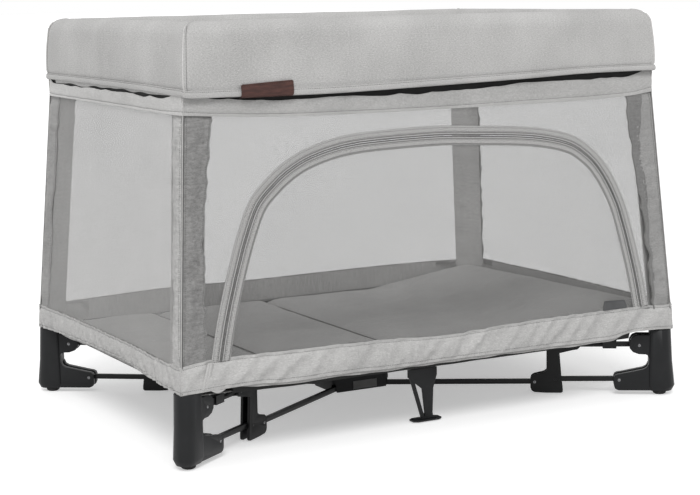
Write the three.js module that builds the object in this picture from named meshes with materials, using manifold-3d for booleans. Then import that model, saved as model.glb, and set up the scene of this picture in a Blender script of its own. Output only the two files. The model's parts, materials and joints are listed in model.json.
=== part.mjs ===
import * as THREE from "three";
import { mergeVertices } from "three/addons/utils/BufferGeometryUtils.js";
import Module from "manifold-3d";

// Folding playpen. Millimetres, +Z up, origin on the floor under the middle.
// X runs along the long side, the zip door is on the -Y side.
const HEM_X = 508; // half length at the bottom hem
const HEM_Y = 353; // half width at the bottom hem
const HEM_Z = 126; // height at which the two half sizes above hold
const LEAN_X = 32 / 457; // how far a short side leans in, per mm of height
const LEAN_Y = 30 / 457; // the same for a long side
const WALL_BOTTOM = 128;
const WALL_TOP = 676;
const MESH_TOP = 583;
const BAND_TOP = 176;
const CLOTH = 3; // seamed bands and sleeves
const MESH_IN = 0.7; // how far the mesh lies under each face of the bands
const SLEEVE = 55; // width of a corner sleeve on each wall
const LEDGE = { bottom: 118, top: 120, depth: 60, end: 440 };

const DOOR_BOTTOM = 178;
const DOOR_EDGE = 15; // half of the zip strip, on each side of the zip line
const DOOR_GAP = 0.4; // from the zip line to the cloth on each side
const ZIP_LINE = [
  [-434, 177], [-421, 235], [-401, 304], [-378, 371], [-353, 426], [-322, 458],
  [-289, 482], [-245, 502], [-178, 517], [-93, 522], [11, 523], [86, 519],
  [177, 513], [231, 506], [278, 495], [307, 481], [340, 454], [368, 415],
  [389, 371], [406, 314], [423, 243], [435, 177],
];

const COVER_TOP = 734;
const COVER_HEM = { x: 478.5, y: 333.5, z: 616 };
const COVER_OUT = { x: 474, y: 329 }; // outer faces level with the rails
const COVER_WIDTH = 57;
const COVER_INNER_Z = 672;

const POST_TOP = { x: 450, y: 299 }; // axis level with the rails
const POST_FOOT = { x: 492, y: 337 }; // axis level with the bottom hem
const POST_END = { bottom: 88, top: 697 };
const POST_RADIUS = 12;
const POST_WALL = 1.5;
const RAIL_Z = 705;
const RAIL_RADIUS = 10;
const RAIL_WALL = 1.3;
const RAIL_PIVOT_X = 407;
const RAIL_PIVOT_Y = 254;
const LATCH_PIVOT = 20;

const DIAGONAL = Math.atan2(337, 492);
const OUTER_ROD = { foot: [519, 29], mid: [397, 28] };
const OUTER_LINK = { foot: [557, 97], mid: [435, 96] };
const INNER_ROD = { mid: [357.7, 23], hub: [60, 20] };
const PIN = 3;
const BORE = 3.3;
const ROD_SIDE = 4; // half width of a rod
const FOOT_PLATE = 16.5; // from the middle of a corner foot to the outside of its arms
const EAR_IN = 4.7; // from the middle of a fork to the inside of an ear

const HUB = { x: 62, y: 46, bottom: 4, top: 100 };
const ARM = { hub: [50, 92], leg: [266, 92] };
const SUPPORT_Y = 275;
const MATTRESS = {
  left: -468, right: 490, y: 330, bottom: 120.6, top: 137, radius: 50,
  folds: [-265, -20, 225], // the panel right of the last fold rides up against the wall
  rise: 8,
};

const wasm = await Module();
wasm.setup();

const paint = (color, roughness, metalness = 0) =>
  new THREE.MeshStandardMaterial({ color, roughness, metalness });
const PLASTIC = paint(0x2f3032, 0.45);
const STEEL = paint(0x1c1c1d, 0.4, 0.6);
const RUBBER = paint(0x3a3a3a, 0.9);
const FABRIC = paint(0xb4b4b0, 0.95);
const MESH_CLOTH = paint(0xc4c4c2, 0.95);
const PAD_FABRIC = paint(0x8b8b89, 0.95);
const LEATHER = paint(0x4a2c24, 0.5);

// Booleans work on merged vertices with nothing but a position.
function solid(geometry) {
  const bare = geometry.clone();
  bare.deleteAttribute("normal");
  bare.deleteAttribute("uv");
  const merged = mergeVertices(bare, 1e-3);
  const vertProperties = new Float32Array(merged.attributes.position.array);
  const triVerts = new Uint32Array(merged.index.array);
  return new wasm.Manifold(new wasm.Mesh({ numProp: 3, vertProperties, triVerts }));
}

function joined(...pieces) {
  return pieces.reduce((whole, piece) => whole.add(piece));
}

function cut(whole, ...tools) {
  return tools.reduce((rest, tool) => rest.subtract(tool), whole);
}

function node(name, body, material) {
  let geometry = body;
  if (!body.isBufferGeometry) {
    const raw = body.getMesh();
    geometry = new THREE.BufferGeometry();
    const points = new Float32Array(raw.numVert * 3);
    for (let i = 0; i < raw.numVert; i++) {
      points.set(raw.vertProperties.subarray(i * raw.numProp, i * raw.numProp + 3), i * 3);
    }
    geometry.setAttribute("position", new THREE.BufferAttribute(points, 3));
    geometry.setIndex(new THREE.BufferAttribute(new Uint32Array(raw.triVerts), 1));
    geometry.computeVertexNormals();
  }
  const mesh = new THREE.Mesh(geometry, material);
  mesh.name = name;
  return mesh;
}

function box(x0, x1, y0, y1, z0, z1) {
  const shape = new THREE.BoxGeometry(x1 - x0, y1 - y0, z1 - z0);
  return solid(shape.translate((x0 + x1) / 2, (y0 + y1) / 2, (z0 + z1) / 2));
}

function outline(points) {
  return new THREE.Shape(points.map(([a, b]) => new THREE.Vector2(a, b)));
}

// A plate cut to an outline in X and Z, lying between two values of Y.
function plateXZ(points, y0, y1) {
  const shape = new THREE.ExtrudeGeometry(outline(points), { depth: y1 - y0, bevelEnabled: false });
  return solid(shape.rotateX(Math.PI / 2).translate(0, y1, 0));
}

// The same for an outline in Y and Z, lying between two values of X.
function plateYZ(points, x0, x1) {
  const turned = points.map(([y, z]) => [-y, z]);
  const shape = new THREE.ExtrudeGeometry(outline(turned), { depth: x1 - x0, bevelEnabled: false });
  return solid(shape.rotateX(Math.PI / 2).rotateZ(-Math.PI / 2).translate(x1, 0, 0));
}

function pinY(x, z, radius, half, y = 0) {
  return solid(new THREE.CylinderGeometry(radius, radius, 2 * half, 10).translate(x, y, z));
}

function pinX(y, z, radius, half, x = 0) {
  const shape = new THREE.CylinderGeometry(radius, radius, 2 * half, 10).rotateZ(Math.PI / 2);
  return solid(shape.translate(x, y, z));
}

// The round end of a bar that runs off in the direction given by an angle.
function roundEnd([x, z], along, halfHeight, endRadius) {
  const start = Math.asin(halfHeight / endRadius);
  const points = [];
  for (let i = 0; i <= 5; i++) {
    const angle = along + start + ((2 * Math.PI - 2 * start) * i) / 5;
    points.push([x + endRadius * Math.cos(angle), z + endRadius * Math.sin(angle)]);
  }
  return points;
}

// The outline of a bar with round ends, from one pivot to another.
function barOutline(from, to, halfHeight, endRadius) {
  const along = Math.atan2(to[1] - from[1], to[0] - from[0]);
  return [
    ...roundEnd(from, along, halfHeight, endRadius),
    ...roundEnd(to, along + Math.PI, halfHeight, endRadius),
  ];
}

// The same with a round end at the pivot only.
function lugOutline(pivot, inside, halfHeight, endRadius) {
  const along = Math.atan2(inside[1] - pivot[1], inside[0] - pivot[0]);
  const [a, b] = [-halfHeight * Math.sin(along), halfHeight * Math.cos(along)];
  return [
    ...roundEnd(pivot, along, halfHeight, endRadius),
    [inside[0] - a, inside[1] - b],
    [inside[0] + a, inside[1] + b],
  ];
}

function roundedRing(x0, x1, y0, y1, inner, outer, z, steps = 3) {
  const ring = [];
  const corner = (x, y, radius, from) => {
    for (let i = 0; i <= steps; i++) {
      const angle = from + (Math.PI / 2) * (i / steps);
      ring.push(new THREE.Vector3(x + radius * Math.cos(angle), y + radius * Math.sin(angle), z));
    }
  };
  corner(x1 - outer, y0 + outer, outer, -Math.PI / 2);
  corner(x1 - outer, y1 - outer, outer, 0);
  corner(x0 + inner, y1 - inner, inner, Math.PI / 2);
  corner(x0 + inner, y0 + inner, inner, Math.PI);
  return ring;
}

// A closed solid through rings of equal length that run anticlockwise seen from above.
function loft(rings) {
  const count = rings[0].length;
  const points = rings.flat().flatMap((p) => [p.x, p.y, p.z]);
  const faces = [];
  for (let k = 0; k + 1 < rings.length; k++) {
    for (let i = 0; i < count; i++) {
      const a = k * count + i;
      const b = k * count + ((i + 1) % count);
      faces.push(a, b, b + count, a, b + count, a + count);
    }
  }
  const top = (rings.length - 1) * count;
  for (let i = 1; i + 1 < count; i++) {
    faces.push(0, i + 1, i, top, top + i, top + i + 1);
  }
  const geometry = new THREE.BufferGeometry();
  geometry.setAttribute("position", new THREE.Float32BufferAttribute(points, 3));
  geometry.setIndex(faces);
  return solid(geometry);
}

function postAt(z) {
  const share = (z - HEM_Z) / (RAIL_Z - HEM_Z);
  const x = POST_FOOT.x + (POST_TOP.x - POST_FOOT.x) * share;
  const y = POST_FOOT.y + (POST_TOP.y - POST_FOOT.y) * share;
  return new THREE.Vector3(x, y, z);
}

function leaningRod(z0, z1, radius, sides = 14) {
  const low = postAt(z0);
  const high = postAt(z1);
  const along = high.clone().sub(low);
  const shape = new THREE.CylinderGeometry(radius, radius, along.length(), sides);
  const turn = new THREE.Quaternion().setFromUnitVectors(
    new THREE.Vector3(0, 1, 0),
    along.clone().normalize(),
  );
  const middle = low.clone().add(high).multiplyScalar(0.5);
  return solid(shape.applyQuaternion(turn).translate(middle.x, middle.y, middle.z));
}

function cornerPost() {
  const bore = leaningRod(POST_END.bottom - 10, POST_END.top + 10, POST_RADIUS - POST_WALL, 8);
  return leaningRod(POST_END.bottom, POST_END.top, POST_RADIUS).subtract(bore);
}

// ---- one corner, built at +X +Y; the linkage pieces lie along the diagonal

function cornerFoot() {
  const half = 20;
  const column = loft([
    roundedRing(580, 620, -half + 3, half - 3, 5, 16, 8),
    roundedRing(575, 625, -half, half, 6, 18, 18),
    roundedRing(575, 620, -half, half, 6, 18, 66),
    roundedRing(576, 617, -half, half, 6, 18, 127),
    roundedRing(577, 614, -half, half, 6, 18, 150),
  ]);
  const arm = [
    [590, 9], [518, 9], [512, 11.5], [509.5, 17], [509, 32], [511, 37], [516, 39.4],
    [523, 40.5], [565, 49.5], [571.5, 53], [574.6, 60], [590, 60],
  ];
  const ear = [
    [590, 73], [574.6, 73], [573, 77.5], [569, 79.6], [556, 80], [545, 84], [539, 91],
    [538, 98], [539, 106], [544, 113], [552, 116.5], [590, 116.5],
  ];
  const plates = [arm, ear].flatMap((shape) => [
    plateXZ(shape, EAR_IN, FOOT_PLATE),
    plateXZ(shape, -FOOT_PLATE, -EAR_IN),
  ]);
  const webs = [
    box(534, 582, -6, 6, 10, 38),
    box(571, 582, -6, 6, 84, 112),
  ];
  const bores = [OUTER_ROD.foot, OUTER_LINK.foot].map(([r, z]) => pinY(r, z, BORE, 20));
  const foot = cut(joined(column, ...plates, ...webs), ...bores);
  const turned = foot.rotate([0, 0, THREE.MathUtils.radToDeg(DIAGONAL)]);
  const socket = leaningRod(POST_END.bottom - 0.4, 190, POST_RADIUS + 0.3);
  const outsideX = box(502.2, 560, 200, 420, 127.4, 200);
  const outsideY = box(400, 560, 347.4, 420, 127.4, 200);
  return cut(turned, socket, outsideX, outsideY);
}

function footPad() {
  const profile = [[0, 0], [9, 0], [12, 1.8], [13, 4.5], [13, 7.7], [0, 7.7]];
  const points = profile.map(([r, z]) => new THREE.Vector2(r, z));
  return new THREE.LatheGeometry(points, 16).rotateX(Math.PI / 2);
}

function rod([from, to], blocks = []) {
  const bar = plateXZ(barOutline(from, to, 4.5, 6), -ROD_SIDE, ROD_SIDE);
  const pins = [from, to].map(([x, z]) => pinY(x, z, PIN, 9.6));
  return joined(bar, ...pins, ...blocks);
}

function outerLink() {
  const { foot, mid } = OUTER_LINK;
  const collar = box(488, 514, -7, 7, 89, 105);
  return rod([mid, foot], [collar]);
}

function midFoot() {
  const shape = [
    [379, 2], [409, 2], [412, 4.5], [412, 10], [410, 26], [405.7, 80], [431, 86], [440, 87.5],
    [444.5, 92], [445, 98], [442, 103], [437, 106], [386, 106], [381.5, 102], [380.7, 95],
    [380.7, 46], [376, 42], [356, 37], [351, 33], [349.7, 28], [349.7, 12], [352, 6.5], [357, 3.2],
  ];
  const plates = [plateXZ(shape, EAR_IN, 9.5), plateXZ(shape, -9.5, -EAR_IN)];
  const webs = [box(381, 388, -6, 6, 46, 82), box(384, 421, -6, 6, 98.5, 105.9)];
  const pins = [OUTER_ROD.mid, OUTER_LINK.mid, INNER_ROD.mid];
  const bores = pins.map(([r, z]) => pinY(r, z, BORE, 20));
  return cut(joined(...plates, ...webs), ...bores);
}

function cornerCap() {
  const { x, y } = POST_TOP;
  const head = loft([
    roundedRing(x - 16, x + 16, y - 16, y + 16, 15, 15, 684),
    roundedRing(x - 18, x + 18, y - 18, y + 18, 17, 17, 688),
    roundedRing(x - 18, x + 18, y - 18, y + 18, 17, 17, 714),
    roundedRing(x - 14, x + 14, y - 14, y + 14, 13, 13, 718),
  ]);
  const lugX = lugOutline([RAIL_PIVOT_X, RAIL_Z], [x - 4, RAIL_Z], 8.9, 9);
  const lugY = lugOutline([RAIL_PIVOT_Y, RAIL_Z], [y - 4, RAIL_Z], 8.9, 9);
  const ears = [
    plateXZ(lugX, y + EAR_IN, y + 9),
    plateXZ(lugX, y - 9, y - EAR_IN),
    plateYZ(lugY, x + EAR_IN, x + 9),
    plateYZ(lugY, x - 9, x - EAR_IN),
  ];
  const socket = leaningRod(660, POST_END.top + 0.4, POST_RADIUS + 0.3);
  const boreX = pinY(RAIL_PIVOT_X, RAIL_Z, 3.8, 14, y);
  const boreY = pinX(RAIL_PIVOT_Y, RAIL_Z, 3.8, 14, x);
  return cut(joined(head, ...ears), socket, boreX, boreY);
}

// Half of a top rail along X, with a tongue and a pin at each end.
function halfRail(outer, inner) {
  const length = outer - inner - 31;
  const middle = inner + 16 + length / 2;
  const cylinder = (radius, reach, sides) =>
    solid(
      new THREE.CylinderGeometry(radius, radius, reach, sides)
        .rotateZ(Math.PI / 2)
        .translate(middle, 0, 0),
    );
  const tongue = (pivot, inside) =>
    plateXZ(lugOutline([pivot, 0], [inside, 0], 8.4, 8.6), -4, 4);
  return joined(
    cylinder(RAIL_RADIUS, length, 14).subtract(cylinder(RAIL_RADIUS - RAIL_WALL, length + 9, 8)),
    tongue(outer, outer - 22),
    tongue(inner, inner + 22),
    pinY(outer, 0, 3.5, 8.6),
    pinY(inner, 0, 3.5, 8.6),
  );
}

// ---- middle pieces

function hub() {
  const { x, y, bottom, top } = HUB;
  const block = loft([
    roundedRing(-x + 9, x - 9, -y + 9, y - 9, 8, 8, bottom),
    roundedRing(-x + 2, x - 2, -y + 2, y - 2, 9, 9, bottom + 9),
    roundedRing(-x, x, -y, y, 10, 10, bottom + 14),
    roundedRing(-x, x, -y, y, 10, 10, top - 8),
    roundedRing(-x + 5, x - 5, -y + 5, y - 5, 8, 8, top),
  ]);
  const [reach, height] = ARM.hub;
  const lugs = [-1, 1].flatMap((side) =>
    [-1, 1].map((ear) =>
      plateYZ(
        lugOutline([side * reach, height], [side * 40, height], 6.5, 7),
        ear > 0 ? EAR_IN : -9.5,
        ear > 0 ? 9.5 : -EAR_IN,
      ),
    ),
  );
  const armBore = pinX(0, height, BORE, 20);
  let body = joined(block, ...lugs);
  for (const side of [-1, 1]) {
    const armSlot = box(-EAR_IN, EAR_IN, -8, 8, 60, top + 2).translate([0, side * (reach + 2), 0]);
    body = cut(body, armBore.translate([0, side * reach, 0]), armSlot);
  }
  const slot = joined(
    box(52, 110, -EAR_IN, EAR_IN, -10, 29),
    pinY(INNER_ROD.hub[0], INNER_ROD.hub[1], BORE, 10.4),
  );
  const angle = THREE.MathUtils.radToDeg(DIAGONAL);
  for (const turn of [angle, 180 - angle, 180 + angle, -angle]) {
    body = body.subtract(slot.rotate([0, 0, turn]));
  }
  return body;
}

// Built towards +Y.
function sideArm() {
  const bar = plateYZ(barOutline(ARM.hub, ARM.leg, 3.5, 5.5), -ROD_SIDE, ROD_SIDE);
  const pins = [ARM.hub, ARM.leg].map(([y, z]) => pinX(y, z, PIN, 9));
  return joined(bar, ...pins);
}

function supportLeg() {
  const face = [
    [-26, 2], [34, 2], [34, 5], [19, 6.5], [18, 15], [20, 60], [28, 84], [28, 98],
    [-32, 98], [-32, 84], [-3, 60], [2, 15], [1, 6.5], [-26, 5],
  ];
  const strut = [[-31, 90], [-24, 90], [2, 4], [-5, 4]];
  const base = [
    [-26, -7], [-18, -12.5], [26, -12.5], [34, -7], [34, 7], [26, 12.5], [-18, 12.5], [-26, 7],
  ];
  const foot = new THREE.ExtrudeGeometry(outline(base), { depth: 3.2, bevelEnabled: false });
  const [reach, height] = ARM.leg;
  const lug = lugOutline([reach, height], [SUPPORT_Y, height], 6, 6.5);
  return cut(
    joined(
      plateXZ(face, SUPPORT_Y - 2, SUPPORT_Y + 2.5),
      plateXZ(strut, SUPPORT_Y - 2, SUPPORT_Y + 2.5),
      solid(foot.translate(0, SUPPORT_Y, 1.8)),
      plateYZ(lug, EAR_IN, 9.5),
      plateYZ(lug, -9.5, -EAR_IN),
    ),
    pinX(reach, height, BORE, 20),
  );
}

// Joins two half rails along X; one bore is a slot for the pin's travel while the rails fold.
function railLatch(nearest, farthest) {
  const side = barOutline([-LATCH_PIVOT, 0], [LATCH_PIVOT + 1, 0], 8.9, 9);
  const slot = barOutline([nearest, 0], [farthest, 0], 3.89, 3.9);
  return cut(
    joined(plateXZ(side, EAR_IN, 9), plateXZ(side, -9, -EAR_IN), box(-7, 7, -5, 5, -8.5, 8.5)),
    pinY(-LATCH_PIVOT, 0, 3.9, 14),
    plateXZ(slot, -14, 14),
  );
}

// ---- cloth, each side built facing -Y

// A wall is drawn flat, with its outer face at Z = 0, and then stood up and leant in.
function standUp(flat, half, lean) {
  const tilt = THREE.MathUtils.radToDeg(Math.atan(lean));
  return flat.rotate([90 - tilt, 0, 0]).translate([0, -half, HEM_Z]);
}

function clothPlate(points, lean, inside = CLOTH, outside = 0) {
  const steepness = Math.cos(Math.atan(lean));
  const flat = points.map(([x, z]) => [x, (z - HEM_Z) / steepness]);
  const depth = inside - outside;
  const shape = new THREE.ExtrudeGeometry(outline(flat), { depth, bevelEnabled: false });
  return solid(shape.translate(0, 0, -inside));
}

// endAt(z) is the half length of the wall at a height.
function flatWall(lean, endAt) {
  const across = (z) => [[-endAt(z), z], [endAt(z), z]];
  const panel = (z0, z1, inside = CLOTH, outside = 0) =>
    clothPlate([...across(z0), ...across(z1).reverse()], lean, inside, outside);
  const sleeve = (side) =>
    clothPlate(
      [
        [side * endAt(WALL_BOTTOM), WALL_BOTTOM], [side * (endAt(WALL_BOTTOM) - SLEEVE), WALL_BOTTOM],
        [side * (endAt(WALL_TOP) - SLEEVE), WALL_TOP], [side * endAt(WALL_TOP), WALL_TOP],
      ],
      lean,
    );
  return joined(
    panel(WALL_BOTTOM, WALL_TOP, CLOTH - MESH_IN, MESH_IN),
    panel(WALL_BOTTOM, BAND_TOP),
    panel(MESH_TOP, WALL_TOP),
    sleeve(-1),
    sleeve(1),
  );
}

// Adds the cloth ledge under the mattress to a long wall.
function withLedge(wall) {
  const { bottom, top, depth, end } = LEDGE;
  return joined(
    wall,
    box(-end, end, -HEM_Y + 0.9, -HEM_Y + 2, bottom, WALL_BOTTOM + 2),
    box(-end, end, -HEM_Y + 0.9, -HEM_Y + depth, bottom, top),
  );
}

// Moves every point of an open line sideways, to the left as it runs.
function offsetLine(points, distance) {
  return points.map(([x, z], i) => {
    const [xa, za] = points[Math.max(i - 1, 0)];
    const [xb, zb] = points[Math.min(i + 1, points.length - 1)];
    const length = Math.hypot(xb - xa, zb - za);
    const shift = distance / length;
    return [x - (zb - za) * shift, z + (xb - xa) * shift];
  });
}

function arch(distance, bottom) {
  const line = offsetLine(ZIP_LINE, distance);
  line[0][1] = bottom;
  line[line.length - 1][1] = bottom;
  return line.reverse();
}

function frontWall(endAt) {
  const border = clothPlate(arch(DOOR_EDGE, BAND_TOP - 4), LEAN_Y);
  const opening = clothPlate(arch(DOOR_GAP, DOOR_BOTTOM), LEAN_Y, 8, -5);
  const flat = flatWall(LEAN_Y, endAt).add(border).subtract(opening);
  return withLedge(standUp(flat, HEM_Y, LEAN_Y));
}

function doorFlap() {
  const bottom = DOOR_BOTTOM + DOOR_GAP;
  const rim = clothPlate(arch(-DOOR_GAP, bottom), LEAN_Y);
  const inside = clothPlate(arch(-DOOR_EDGE, bottom + 8), LEAN_Y, 8, -5);
  const net = clothPlate(arch(-DOOR_GAP - 4, bottom + 2), LEAN_Y, CLOTH - MESH_IN, MESH_IN);
  return standUp(rim.subtract(inside).add(net), HEM_Y, LEAN_Y);
}

// An upturned channel over a rail, mitred at both ends.
function cover(out, hem) {
  const radius = COVER_WIDTH / 2;
  const path = (inset) => {
    const points = [[hem - inset, COVER_HEM.z]];
    for (let i = 0; i <= 10; i++) {
      const angle = (Math.PI * i) / 10;
      const height = COVER_TOP - RAIL_Z - inset;
      points.push([
        out - radius + (radius - inset) * Math.cos(angle),
        RAIL_Z + height * Math.sin(angle),
      ]);
    }
    points.push([out - COVER_WIDTH + inset, COVER_INNER_Z]);
    return points;
  };
  const section = [...path(0), ...path(3).reverse()];
  return (end) => {
    const shape = new THREE.ExtrudeGeometry(
      outline(section),
      { depth: 2, bevelEnabled: false },
    );
    shape.rotateX(Math.PI / 2).rotateZ(-Math.PI / 2);
    const place = shape.attributes.position;
    for (let i = 0; i < place.count; i++) {
      const across = -place.getY(i);
      const side = place.getX(i) < -1 ? -1 : 1;
      place.setXYZ(i, side * (end + across - out - 0.3), -across, place.getZ(i));
    }
    return solid(shape);
  };
}

// Four panels with a groove along each fold; the last panel is turned up about its lower edge.
function mattress() {
  const { left, right, y, bottom, top, radius, rise } = MATTRESS;
  const rim = (inset, z) =>
    roundedRing(left + inset, right - inset, -y + inset, y - inset, radius, radius, z, 6);
  const slab = loft([rim(5, bottom), rim(0, bottom + 5), rim(0, top - 5), rim(5, top)]);
  const groove = [[-5, top + 4], [0, top - 6], [5, top + 4]];
  const folds = MATTRESS.folds.map((at) =>
    plateXZ(groove.map(([a, z]) => [at + a, z]), -y - 20, y + 20),
  );
  const last = MATTRESS.folds[2];
  const lying = slab.intersect(box(left - 10, last, -y - 10, y + 10, bottom - 5, top + 5));
  const raised = slab
    .intersect(box(last - 0.5, right + 10, -y - 10, y + 10, bottom - 5, top + 5))
    .translate([-last, 0, -bottom])
    .rotate([0, -rise, 0])
    .translate([last, 0, bottom]);
  return cut(joined(lying, raised), ...folds);
}

// Bent round the cover's hem, seen from its end.
function leatherTag() {
  const section = [
    [334, 607], [336.8, 609], [335.5, 633], [333.9, 633], [334.9, 611], [330, 611], [330, 608.6],
  ];
  return plateYZ(section.map(([y, z]) => [-y, z]), -377, -281);
}

// ---- assembly

const playpen = new THREE.Group();
const CORNERS = {
  front_left: [-1, -1],
  front_right: [1, -1],
  back_left: [-1, 1],
  back_right: [1, 1],
};

const cornerShapes = {
  foot: cornerFoot(),
  post: cornerPost(),
  cap: cornerCap(),
  mid: midFoot(),
  outer: rod([OUTER_ROD.mid, OUTER_ROD.foot]),
  link: outerLink(),
  inner: rod([INNER_ROD.hub, INNER_ROD.mid]),
  railX: halfRail(RAIL_PIVOT_X, LATCH_PIVOT),
  railY: halfRail(RAIL_PIVOT_Y, LATCH_PIVOT),
};

for (const [name, [sideX, sideY]] of Object.entries(CORNERS)) {
  const corner = new THREE.Group();
  corner.scale.set(sideX, sideY, 1);
  const pad = node(`foot_pad_${name}`, footPad(), RUBBER);
  pad.position.set(POST_FOOT.x, POST_FOOT.y, 0);
  const linkage = new THREE.Group();
  linkage.rotation.z = DIAGONAL;
  linkage.add(
    node(`mid_foot_${name}`, cornerShapes.mid, PLASTIC),
    node(`outer_rod_${name}`, cornerShapes.outer, STEEL),
    node(`outer_link_${name}`, cornerShapes.link, STEEL),
    node(`inner_rod_${name}`, cornerShapes.inner, STEEL),
  );
  const longRail = node(`long_rail_${name}`, cornerShapes.railX, STEEL);
  longRail.position.set(0, POST_TOP.y, RAIL_Z);
  const shortRail = node(`short_rail_${name}`, cornerShapes.railY, STEEL);
  shortRail.position.set(POST_TOP.x, 0, RAIL_Z);
  shortRail.rotation.z = Math.PI / 2;
  corner.add(
    node(`corner_foot_${name}`, cornerShapes.foot, PLASTIC),
    node(`corner_post_${name}`, cornerShapes.post, STEEL),
    node(`corner_cap_${name}`, cornerShapes.cap, PLASTIC),
    pad,
    linkage,
    longRail,
    shortRail,
  );
  playpen.add(corner);
}

playpen.add(node("hub", hub(), PLASTIC));

const longLatch = railLatch(16.6, 21.1);
const shortLatch = railLatch(19.7, 22.2);
const longCover = cover(COVER_OUT.y, COVER_HEM.y)(COVER_OUT.x);
const shortCover = cover(COVER_OUT.x, COVER_HEM.x)(COVER_OUT.y);
const endOfLong = (z) => HEM_X - LEAN_X * (z - HEM_Z);
const endOfShort = (z) => HEM_Y - LEAN_Y * (z - HEM_Z) - CLOTH - 0.6;
const sideWall = standUp(flatWall(LEAN_X, endOfShort), HEM_X, LEAN_X);
const backWall = withLedge(standUp(flatWall(LEAN_Y, endOfLong), HEM_Y, LEAN_Y));
const WALLS = {
  front: [frontWall(endOfLong), 0],
  right: [sideWall, 90],
  back: [backWall, 180],
  left: [sideWall, -90],
};

for (const [name, [wall, turn]] of Object.entries(WALLS)) {
  const long = name === "front" || name === "back";
  const side = new THREE.Group();
  side.rotation.z = THREE.MathUtils.degToRad(turn);
  const latch = node(`rail_latch_${name}`, long ? longLatch : shortLatch, PLASTIC);
  latch.position.set(0, long ? -POST_TOP.y : -POST_TOP.x, RAIL_Z);
  side.add(
    node(`${name}_wall`, wall, MESH_CLOTH),
    node(`${name}_cover`, long ? longCover : shortCover, FABRIC),
    latch,
  );
  playpen.add(side);
}

for (const [name, sideY] of [["front", -1], ["back", 1]]) {
  const side = new THREE.Group();
  side.scale.y = sideY;
  side.add(
    node(`side_arm_${name}`, sideArm(), STEEL),
    node(`support_leg_${name}`, supportLeg(), PLASTIC),
  );
  playpen.add(side);
}

playpen.add(
  node("door_flap", doorFlap(), MESH_CLOTH),
  node("mattress", mattress(), PAD_FABRIC),
  node("leather_tag", leatherTag(), LEATHER),
);

export default playpen;
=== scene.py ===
import json
import math
import bpy
import bmesh
from mathutils import Matrix, Vector, noise


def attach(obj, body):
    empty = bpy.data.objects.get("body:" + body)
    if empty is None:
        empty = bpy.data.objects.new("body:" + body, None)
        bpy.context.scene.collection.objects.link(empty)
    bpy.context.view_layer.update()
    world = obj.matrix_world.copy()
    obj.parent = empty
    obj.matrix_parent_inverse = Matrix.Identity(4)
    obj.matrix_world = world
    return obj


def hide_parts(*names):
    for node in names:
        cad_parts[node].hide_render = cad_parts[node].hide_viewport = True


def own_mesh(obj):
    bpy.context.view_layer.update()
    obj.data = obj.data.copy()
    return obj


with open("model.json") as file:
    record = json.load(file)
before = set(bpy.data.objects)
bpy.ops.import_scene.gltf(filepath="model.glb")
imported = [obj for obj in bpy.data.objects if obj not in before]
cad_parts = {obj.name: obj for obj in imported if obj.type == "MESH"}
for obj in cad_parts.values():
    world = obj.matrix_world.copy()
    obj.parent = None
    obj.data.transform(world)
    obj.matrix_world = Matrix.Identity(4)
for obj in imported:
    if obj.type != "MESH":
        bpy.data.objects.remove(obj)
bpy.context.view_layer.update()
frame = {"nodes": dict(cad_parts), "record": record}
bodies = frame["record"]["behaviour"]["bodies"]
bodyOf = {node: body for body, nodes in bodies.items() for node in nodes}
print("frame loaded:", len(frame["nodes"]), "nodes")

view = {"place": (-1.58616, -2.91596, 0.78113), "yaw": -28.6, "down": 8.494, "roll": -1.037, "lens": 89.2}


def addObject(name, data):
    made = bpy.data.objects.new(name, data)
    bpy.context.collection.objects.link(made)
    return made


def addCamera():
    yaw, down, roll = (math.radians(view[key]) for key in ("yaw", "down", "roll"))
    forward = Vector((-math.sin(yaw) * math.cos(down), math.cos(yaw) * math.cos(down), -math.sin(down)))
    right = Vector((math.cos(yaw), math.sin(yaw), 0))
    up = right.cross(forward)
    across = right * math.cos(roll) + up * math.sin(roll)
    upright = up * math.cos(roll) - right * math.sin(roll)
    turn = Matrix((across, upright, -forward)).transposed().to_4x4()
    data = bpy.data.cameras.new("camera")
    data.lens = view["lens"]
    data.clip_end = 100
    camera = addObject("camera", data)
    camera.matrix_world = Matrix.Translation(view["place"]) @ turn
    bpy.context.scene.camera = camera


addCamera()


def addNode(tree, kind, settings=None, inputs=None):
    node = tree.nodes.new(kind)
    for key, value in (settings or {}).items():
        if key == "stops":
            ramp = node.color_ramp.elements
            while len(ramp) < len(value):
                ramp.new(0.5)
            for stop, (place, shade) in zip(ramp, value):
                stop.position = place
                stop.color = (shade, shade, shade, 1) if isinstance(shade, (int, float)) else (*shade, 1)
        else:
            setattr(node, key, value)
    for key, value in (inputs or {}).items():
        socket = node.inputs[key]
        if isinstance(value, Wire):
            tree.links.new(value.socket, socket)
        elif isinstance(value, bpy.types.NodeSocket):
            tree.links.new(value, socket)
        elif socket.type == "RGBA" and len(value) == 3:
            socket.default_value = (*value, 1)
        else:
            socket.default_value = value
    return node


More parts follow.
